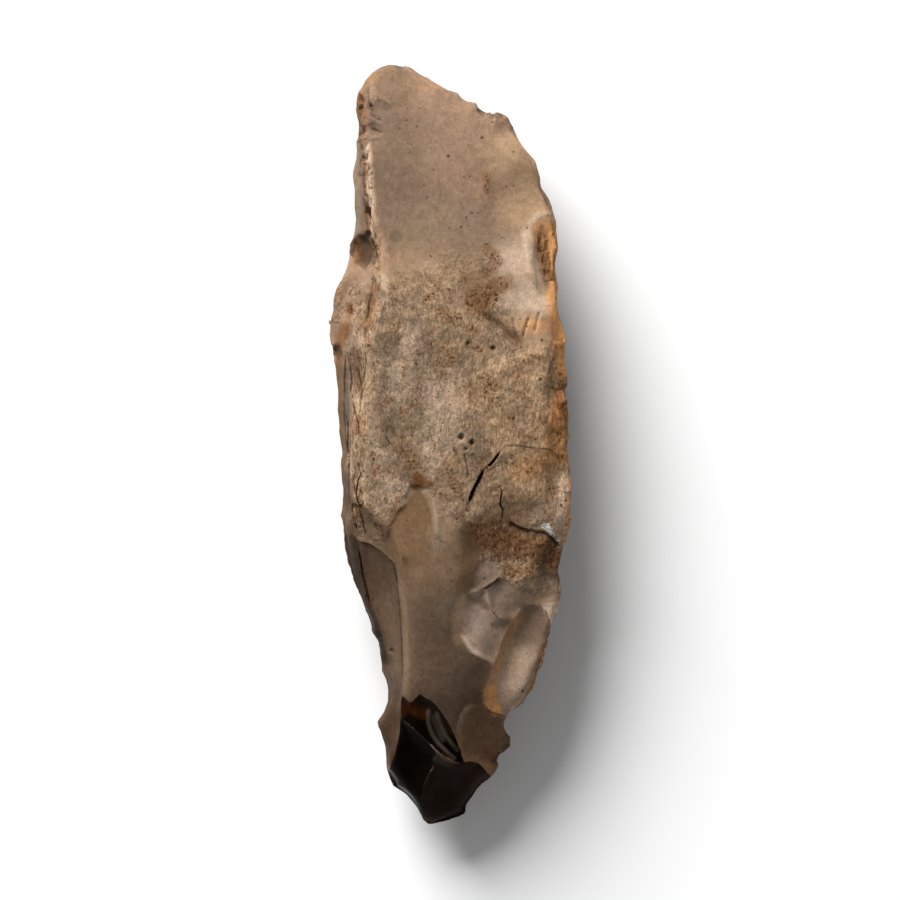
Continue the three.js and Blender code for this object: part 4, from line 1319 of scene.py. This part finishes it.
def skin_tree():
    """Raises grains and lumps on the rough skin, crumbs on the crests, and small flake scars on the sides."""
    tree = bpy.data.node_groups.new("Stone skin", "GeometryNodeTree")
    interface = tree.interface
    interface.new_socket("Geometry", in_out="INPUT", socket_type="NodeSocketGeometry")
    for kind in RELIEF_KINDS:
        for side in ("Height", "Size"):
            made = interface.new_socket(f"{kind} {side}", in_out="INPUT", socket_type="NodeSocketFloat")
            made.subtype = "DISTANCE"
    interface.new_socket("Material", in_out="INPUT", socket_type="NodeSocketMaterial")
    interface.new_socket("Geometry", in_out="OUTPUT", socket_type="NodeSocketGeometry")
    start, end = node(tree, "NodeGroupInput"), node(tree, "NodeGroupOutput")
    link = tree.links.new
    where = node(tree, "GeometryNodeInputPosition").outputs[0]
    along = moved(tree, where, "MULTIPLY", (1.0, SKIN_STRETCH, 1.0))
    size = {kind: start.outputs[f"{kind} Size"] for kind in RELIEF_KINDS}

    def stored(name):
        made = node(tree, "GeometryNodeInputNamedAttribute", data_type="FLOAT")
        made.inputs["Name"].default_value = name
        return made.outputs["Attribute"]

    def less(value, amount):
        return math_node(tree, "SUBTRACT", value, amount)

    def lifted(kind, shape, *mask):
        """Height of one kind of relief, from a shape of about -0.5 to 0.5 and where it is."""
        return chained(tree, "MULTIPLY", shape, start.outputs[f"{kind} Height"], *mask)

    def with_share(shape, other, share):
        return math_node(tree, "ADD", shape, math_node(tree, "MULTIPLY", other, share))

    grain = less(noise(tree, where, size["Grain"], 3.0, 0.6), 0.5)
    lump = less(noise(tree, where, size["Lump"], 5.0, 0.6, 0.3), 0.5)
    lump = with_share(lump, peel_steps(tree, where), 0.5)
    crumb = less(noise(tree, along, size["Crumb"], 4.0, 0.65, 0.5), 0.55)
    crumb = with_share(crumb, bowls(tree, along, size["Crumb"]), 0.35)
    swell = less(noise(tree, where, size["Swell"], 2.0, 0.5), 0.5)
    flake = bowls(tree, where, size["Flake"])
    rough = stored("rough")
    total = chained(
        tree, "ADD",
        lifted("Swell", swell),
        lifted("Grain", grain, rough),
        lifted("Lump", lump, rough),
        lifted("Crumb", crumb, stored("crumb")),
        lifted("Flake", flake, stored("flaked")),
    )
    total = math_node(tree, "MULTIPLY", total, 2.0)
    out = node(tree, "ShaderNodeVectorMath", operation="SCALE")
    link(node(tree, "GeometryNodeInputNormal").outputs[0], out.inputs[0])
    link(total, out.inputs["Scale"])
    raised = node(tree, "GeometryNodeSetPosition")
    link(start.outputs["Geometry"], raised.inputs["Geometry"])
    link(out.outputs[0], raised.inputs["Offset"])
    real = node(tree, "GeometryNodeRealizeInstances")
    link(raised.outputs[0], real.inputs[0])
    dressed = node(tree, "GeometryNodeSetMaterial")
    link(real.outputs[0], dressed.inputs["Geometry"])
    link(start.outputs["Material"], dressed.inputs["Material"])
    link(dressed.outputs[0], end.inputs[0])
    return tree


def set_input(modifier, name, value):
    """Sets a Geometry Nodes input by the name shown on it."""
    for item in modifier.node_group.interface.items_tree:
        if item.item_type == "SOCKET" and item.in_out == "INPUT" and item.name == name:
            modifier[item.identifier] = value
            return
    raise KeyError(name)


# ---------------------------------------------------------------------------
# The flint's material
# ---------------------------------------------------------------------------


def flint_material(spot_colour, flake_size):
    """The skins, stains, marks and fresh flint, from the values that paint() stores and from noises."""
    material = bpy.data.materials.new("flint")
    tree = emptied(material)
    link = tree.links.new
    output = node(tree, "ShaderNodeOutputMaterial")
    shader = node(tree, "ShaderNodeBsdfPrincipled")
    link(shader.outputs[0], output.inputs[0])
    where = node(tree, "ShaderNodeTexCoord").outputs["Object"]
    along = moved(tree, where, "MULTIPLY", (1.0, COLOUR_STRETCH, 1.0))
    spot = tuple(spot_colour)
    marks = {name: tuple(srgb_to_linear(colour)) for name, colour in MARKS.items()}

    def stored(name, output="Fac"):
        made = node(tree, "ShaderNodeAttribute", attribute_type="GEOMETRY", attribute_name=name)
        return made.outputs[output]

    def field(name):
        kind = NOISES[name]
        place = along if kind.drawn_out else where
        return noise(tree, place, kind.width * MM, kind.detail, kind.roughness, kind.distortion)

    def centred(value):
        return math_node(tree, "SUBTRACT", value, 0.5)

    def sum_of(*values):
        return chained(tree, "ADD", *values)

    def times(*values):
        return chained(tree, "MULTIPLY", *values)

    def step(value, low, high, to_low=0.0, to_high=1.0):
        return ramp(tree, value, low, high, to_low, to_high)

    def where_rough(least, most):
        """One strength on the smooth skin and another on the rough skin."""
        return step(is_rough, 0.0, 1.0, least, most)

    def shaded(base, factor, shade):
        """Multiplied with a tone."""
        return mix_colour(tree, factor, base, mix_colour(tree, 1.0, base, shade, "MULTIPLY"))

    def varied(base, factor, value, low, high, darkest, palest):
        """Multiplied with a grey that goes with a value."""
        return shaded(base, factor, ramp_grey(tree, value, low, high, darkest, palest))

    def marked(base, factor, name):
        return mix_colour(tree, factor, base, marks[name])

    # Masks.
    fine, mottle, grit, torn, streaks = (field(name) for name in ("fine", "mottle", "grit", "torn", "streaks"))
    wobble, drift = centred(field("wobble")), centred(field("drift"))
    bend = stored("bend")
    is_fresh = step(sum_of(stored("fresh_mm"), times(wobble, 0.5)), -0.1, 0.1)
    is_bare = step(sum_of(stored("bare_mm"), times(wobble, 1.6)), -0.25, 0.25)
    is_rough = step(sum_of(stored("rough"), times(drift, 1.7)), 0.25, 0.8)
    is_rough = times(is_rough, math_node(tree, "SUBTRACT", 1.0, is_bare, clamp=True))
    is_crumb = step(sum_of(stored("crumb"), times(wobble, 2.2)), 0.35, 0.75)

    # Clouds, grain and streaks along the stone.
    colour = stored("tint", "Color")
    colour = varied(colour, 1.0, field("cloud"), 0.3, 0.7, 0.94, 1.06)
    colour = shaded(colour, times(step(field("cool"), 0.48, 0.62), 0.5), COOL)
    colour = varied(colour, 0.85, mottle, 0.34, 0.66, 0.87, 1.13)
    colour = varied(colour, is_rough, field("patches"), 0.34, 0.66, 0.84, 1.14)
    colour = shaded(colour, times(step(field("rosy"), 0.5, 0.6), where_rough(0.3, 0.8)), ROSY)
    colour = varied(colour, stored("flaked"), side_cells(tree, where, flake_size), 0.0, 1.0, 0.84, 1.12)
    colour = varied(colour, where_rough(0.35, 0.85), streaks, 0.36, 0.64, 0.8, 1.18)
    colour = varied(colour, 0.7, grit, 0.36, 0.64, 0.84, 1.14)

    # Rust in clusters of grains, thin crackle and dark specks.
    placed = step(sum_of(stored("rusty"), times(drift, 1.6)), 0.3, 0.9)
    clusters = times(step(field("clusters"), 0.5, 0.64), where_rough(0.05, 1.0))
    rusty = math_node(tree, "MAXIMUM", placed, clusters)
    grains = field("grains")
    colour = marked(colour, times(rusty, 0.35), "rusty ground")
    colour = marked(colour, times(rusty, step(grains, 0.5, 0.62), 0.8), "rusty grain")
    colour = marked(colour, times(rusty, step(grains, 0.6, 0.67), 0.8), "dark grain")
    veins = thin_lines(tree, along, 1.15 * MM, 0.035)
    colour = shaded(colour, times(veins, is_rough, 0.85), VEIN)
    threads = thin_lines(tree, along, 0.95 * MM, 0.03, 7.0)
    colour = shaded(colour, times(threads, where_rough(0.18, 0.8)), THREAD)
    crackle = times(thin_lines(tree, where, 2.6 * MM, 0.011, 3.0), step(mottle, 0.54, 0.44), is_rough)
    colour = marked(colour, times(crackle, 0.7), "crackle")
    for width, share, radius, strength in SCATTERED:
        colour = mix_colour(tree, times(specks(tree, where, width * MM, share, radius), strength), colour, spot)

    # The crumbling crests: torn shards from cream to orange, with dark gaps.
    colour = shaded(colour, times(is_crumb, step(torn, 0.54, 0.62), 0.8), WORN)
    colour = marked(colour, times(is_crumb, step(torn, 0.5, 0.44), 0.55), "torn side")
    colour = marked(colour, times(is_crumb, step(torn, 0.42, 0.35), 0.85), "torn gap")

    # Painted shade in the hollows, worn edges and drawn lines.
    colour = marked(colour, times(step(bend, -0.03, -0.16), 0.5), "hollow")
    colour = shaded(colour, times(step(bend, 0.03, 0.14), step(fine, 0.35, 0.6, 0.1, 0.45)), WORN)
    # Dark lines. Those along the steps are painted shadow.
    dark_line = step(sum_of(stored("dark_mm"), times(wobble, 0.5)), 0.16, -0.08)
    colour = marked(colour, times(dark_line, step(fine, 0.3, 0.5, 0.4, 0.75)), "dark line")

    # Fresh flint, and the marks that lie on both.
    black = varied(stored("fresh_tint", "Color"), 1.0, field("fresh flint"), 0.3, 0.7, 0.75, 1.3)
    colour = mix_colour(tree, is_fresh, colour, black)
    light_line = step(sum_of(stored("light_mm"), times(wobble, 0.7)), 0.16, -0.08)
    line_colour = mix_colour(tree, is_fresh, marks["light line"], marks["light line on fresh flint"])
    colour = mix_colour(tree, times(light_line, 0.4), colour, line_colour)
    speck = step(sum_of(stored("speck_mm"), times(wobble, 0.9)), 0.08, -0.12)
    colour = mix_colour(tree, times(speck, 0.8), colour, spot)
    crack = step(sum_of(stored("crack_mm"), times(wobble, 0.5)), 0.06, -0.1)
    colour = marked(colour, times(crack, 0.92), "crack")
    # The white crystals, in near white broken by grit. This is partly their own colour and partly a painted glint.
    crystal_and_glint = step(sum_of(stored("crystal_glint_mm"), times(wobble, 2.4)), -0.1, 0.1)
    colour = marked(colour, times(crystal_and_glint, step(grit, 0.4, 0.5)), "crystal_and_glint")
    link(colour, shader.inputs["Base Color"])

    # Gloss.
    gloss = sum_of(where_rough(0.55, 0.85), times(centred(fine), 0.3))
    made = node(tree, "ShaderNodeMix", data_type="FLOAT")
    link(is_fresh, made.inputs[0])
    link(gloss, made.inputs[2])
    made.inputs[3].default_value = FRESH_ROUGHNESS
    link(made.outputs[0], shader.inputs["Roughness"])
    fill(shader, Specular_IOR_Level=REFLECTION)

    # Micro relief.
    cover = math_node(tree, "MAXIMUM", is_rough, is_crumb)
    skin_height = sum_of(
        times(grit, 0.5), times(streaks, 1.1), mottle, times(crackle, -0.5), times(veins, -0.35),
    )
    smoother = times(sum_of(fine, mottle), 0.2)
    height = sum_of(times(skin_height, cover), times(torn, is_crumb, 1.5), smoother)
    height = times(height, step(is_fresh, 0.0, 1.0, 1.0, 0.25))
    bump = node(tree, "ShaderNodeBump")
    fill(bump, Strength=0.7, Distance=0.26 * MM)
    link(height, bump.inputs["Height"])
    link(bump.outputs[0], shader.inputs["Normal"])
    return material


def thin_lines(tree, coordinates, size, width, offset=0.0):
    """Thin wriggling lines where a noise crosses its middle value: 0 to 1. The offset gives other lines."""
    field = noise(tree, moved(tree, coordinates, "ADD", (offset, offset, offset)), size, 4.0, 0.65, 1.0)
    away = math_node(tree, "ABSOLUTE", math_node(tree, "SUBTRACT", field, 0.5))
    return ramp(tree, away, width, 0.0)


def side_cells(tree, coordinates, flake_size):
    """A number from 0 to 1 for each small flake scar on the sides."""
    _, own_colour = cells(tree, coordinates, flake_size)
    return cell_numbers(tree, own_colour)[0]


def specks(tree, coordinates, size, share, radius):
    """Round specks: cells are size wide, this share of them has none, and radius is a share of the size."""
    far, own_colour = cells(tree, coordinates, size)
    chance, growth = cell_numbers(tree, own_colour)
    chosen = math_node(tree, "GREATER_THAN", chance, share)
    own_radius = math_node(tree, "MULTIPLY", ramp(tree, growth, 0.0, 1.0, 0.5, 1.2), radius)
    inner = math_node(tree, "SUBTRACT", own_radius, far)
    return math_node(tree, "MULTIPLY", ramp(tree, inner, -0.02, 0.04), chosen)


def ramp_grey(tree, value, low, high, to_low, to_high):
    """A grey colour from a smooth step, to multiply another colour with."""
    made = node(tree, "ShaderNodeCombineColor")
    grey = ramp(tree, value, low, high, to_low, to_high)
    for socket in made.inputs:
        tree.links.new(grey, socket)
    return made.outputs[0]


# ---------------------------------------------------------------------------
# Operators
# ---------------------------------------------------------------------------


class FLINT_OT_stone(bpy.types.Operator):
    """Makes the finished stone from the plain one"""

    bl_idname = "flint.stone"
    bl_label = "Stone"

    def execute(self, context):
        settings = context.scene.flint_stone
        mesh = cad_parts[CAD_NODE].data.copy()
        mesh.name = PIECE_NAME
        mesh.materials.clear()
        bm = bmesh.new()
        bm.from_mesh(mesh)
        bmesh.ops.remove_doubles(bm, verts=bm.verts, dist=MERGE_DISTANCE)
        bm.to_mesh(mesh)
        bm.free()
        stone = bpy.data.objects.new(PIECE_NAME, mesh)
        context.scene.collection.objects.link(stone)

        remesh = stone.modifiers.new("Even mesh", "REMESH")
        remesh.mode = "VOXEL"
        remesh.voxel_size = settings.voxel
        self.bake(context, stone)
        soften_facets(stone.data, rounds=8, passes=5, sharpness=0.012)
        lift_ground(stone.data)
        calm(stone.data, passes=60)
        knap(stone.data)
        fit_outline(stone.data)
        skin_masks(stone.data)

        material = flint_material(settings.spot_colour, settings.flake_size)
        skin = stone.modifiers.new("Stone skin", "NODES")
        skin.node_group = skin_tree()
        set_input(skin, "Material", material)
        for kind in RELIEF_KINDS:
            for side in ("Height", "Size"):
                set_input(skin, f"{kind} {side}", getattr(settings, f"{kind}_{side}".lower()))
        self.bake(context, stone)
        flatten_sole(stone.data)
        # The upper face keeps every point, and the sides and underside are thinned.
        thinned = stone.vertex_groups.new(name="thinned")
        up = read_normals(stone.data)[:, 2]
        thinned.add(np.flatnonzero(up < settings.keep_above).tolist(), 1.0, "REPLACE")
        thin = stone.modifiers.new("Thin", "DECIMATE")
        thin.vertex_group = thinned.name
        thin.ratio = min(1.0, settings.triangles / (2 * len(stone.data.polygons)))
        self.bake(context, stone)
        stone.vertex_groups.clear()
        cut_cracks(stone.data)
        paint(stone.data)
        if len(stone.data.polygons) >= TRIANGLE_LIMIT:
            raise RuntimeError("the stone has too many triangles")
        stone.data.materials.clear()
        stone.data.materials.append(material)
        stone.data.shade_smooth()
        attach(stone, "root")
        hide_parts(CAD_NODE)
        return {"FINISHED"}

    def bake(self, context, stone):
        """Turns the stone's modifiers into its plain mesh."""
        context.view_layer.update()
        evaluated = stone.evaluated_get(context.evaluated_depsgraph_get())
        old = stone.data
        stone.data = bpy.data.meshes.new_from_object(evaluated)
        stone.modifiers.clear()
        bpy.data.meshes.remove(old)
        stone.data.name = PIECE_NAME


class FLINT_OT_studio(bpy.types.Operator):
    """Makes the floor, backdrop, light and camera"""

    bl_idname = "flint.studio"
    bl_label = "Studio"

    def execute(self, context):
        settings = context.scene.flint_studio
        self.surroundings(context, settings)
        self.light(context, settings)
        self.camera(context, settings)
        context.scene.view_settings.view_transform = "Standard"
        return {"FINISHED"}

    def surroundings(self, context, settings):
        """The floor keeps its shadow, is clear from below and gives little light back, and the wall gives none."""
        floor_material = bpy.data.materials.new("floor")
        tree = emptied(floor_material)
        seen = self.seen(tree)
        grey = (FLOOR_GREY, FLOOR_GREY, FLOOR_GREY)
        diffuse = node(tree, "ShaderNodeBsdfDiffuse")
        tree.links.new(mix_colour(tree, seen, grey, (1.0, 1.0, 1.0)), diffuse.inputs["Color"])
        glow = node(tree, "ShaderNodeEmission")
        tree.links.new(math_node(tree, "MULTIPLY", seen, settings.lift), glow.inputs["Strength"])
        lit = node(tree, "ShaderNodeAddShader")
        tree.links.new(diffuse.outputs[0], lit.inputs[0])
        tree.links.new(glow.outputs[0], lit.inputs[1])
        below = node(tree, "ShaderNodeNewGeometry").outputs["Backfacing"]
        clear = node(tree, "ShaderNodeBsdfTransparent").outputs[0]
        output = node(tree, "ShaderNodeOutputMaterial")
        tree.links.new(mix_shader(tree, below, lit.outputs[0], clear), output.inputs[0])
        floor = self.disc(context, "floor", FLOOR_RADIUS, None, floor_material)

        wall_material = bpy.data.materials.new("backdrop")
        tree = emptied(wall_material)
        shine = fill(node(tree, "ShaderNodeEmission"), Strength=1.0).outputs[0]
        clear = node(tree, "ShaderNodeBsdfTransparent").outputs[0]
        output = node(tree, "ShaderNodeOutputMaterial")
        tree.links.new(mix_shader(tree, self.seen(tree), clear, shine), output.inputs[0])
        wall = self.disc(context, "backdrop", WALL_RADIUS, WALL_HEIGHT, wall_material)

    def seen(self, tree):
        """1 for what the camera sees, also in a mirror or through glass, and 0 for light on its way."""
        path = node(tree, "ShaderNodeLightPath")
        kinds = ("Is Camera Ray", "Is Glossy Ray", "Is Transmission Ray")
        return chained(tree, "MAXIMUM", *(path.outputs[kind] for kind in kinds))

    def disc(self, context, name, radius, height, material):
        """A round floor, or a round wall if it has a height."""
        bm = bmesh.new()
        bmesh.ops.create_circle(bm, cap_ends=height is None, segments=96, radius=radius)
        if height is not None:
            made = bmesh.ops.extrude_edge_only(bm, edges=bm.edges[:])
            upper = [item for item in made["geom"] if isinstance(item, bmesh.types.BMVert)]
            bmesh.ops.translate(bm, verts=upper, vec=(0, 0, height))
        mesh = bpy.data.meshes.new(name)
        bm.to_mesh(mesh)
        bm.free()
        mesh.materials.append(material)
        obj = bpy.data.objects.new(name, mesh)
        context.scene.collection.objects.link(obj)
        return obj

    def light(self, context, settings):
        lamp = bpy.data.lights.new("key", "SUN")
        lamp.energy = settings.key_strength
        lamp.angle = settings.key_angle
        key = bpy.data.objects.new("key", lamp)
        up, turn = settings.key_height, settings.key_turn
        out = Vector((math.cos(up) * math.cos(turn), math.cos(up) * math.sin(turn), math.sin(up)))
        key.location = out * LAMP_DISTANCE
        key.rotation_euler = out.to_track_quat("Z", "Y").to_euler()
        context.scene.collection.objects.link(key)
        world = bpy.data.worlds.new("studio")
        tree = emptied(world)
        ground = fill(node(tree, "ShaderNodeBackground"), Color=(1.0, 1.0, 1.0, 1.0), Strength=settings.fill)
        output = node(tree, "ShaderNodeOutputWorld")
        tree.links.new(ground.outputs[0], output.inputs[0])
        context.scene.world = world

    def camera(self, context, settings):
        lens = bpy.data.cameras.new("camera")
        lens.lens = settings.lens
        lens.sensor_width = SENSOR_WIDTH
        lens.clip_start, lens.clip_end = CLIP
        low, high = CAD_BOX
        away = settings.view_width * settings.lens / SENSOR_WIDTH
        camera = bpy.data.objects.new("camera", lens)
        camera.location = (0.0, unit_length() * (PLAN_CENTRE[1] - SHEET_MIDDLE), (low.z + high.z) / 2 + away)
        context.scene.collection.objects.link(camera)
        context.scene.camera = camera


class FLINT_PT_panel(bpy.types.Panel):
    """Buttons for the stone and its studio"""

    bl_idname = "FLINT_PT_panel"
    bl_label = "Flint pick"
    bl_space_type = "VIEW_3D"
    bl_region_type = "UI"
    bl_category = "Flint pick"

    def draw(self, context):
        layout = self.layout
        for settings, kind, button in (
            (context.scene.flint_stone, FlintStoneSettings, "flint.stone"),
            (context.scene.flint_studio, FlintStudioSettings, "flint.studio"),
        ):
            box = layout.box()
            for name in kind.__annotations__:
                box.prop(settings, name)
            box.operator(button)


CLASSES = (
    FlintStoneSettings,
    FlintStudioSettings,
    FLINT_OT_stone,
    FLINT_OT_studio,
    FLINT_PT_panel,
)


def register():
    for item in CLASSES:
        bpy.utils.register_class(item)
    bpy.types.Scene.flint_stone = PointerProperty(type=FlintStoneSettings)
    bpy.types.Scene.flint_studio = PointerProperty(type=FlintStudioSettings)


def unregister():
    del bpy.types.Scene.flint_stone
    del bpy.types.Scene.flint_studio
    for item in reversed(CLASSES):
        bpy.utils.unregister_class(item)


def main():
    register()
    bpy.ops.flint.stone()
    bpy.ops.flint.studio()


if __name__ == "__main__":
    main()
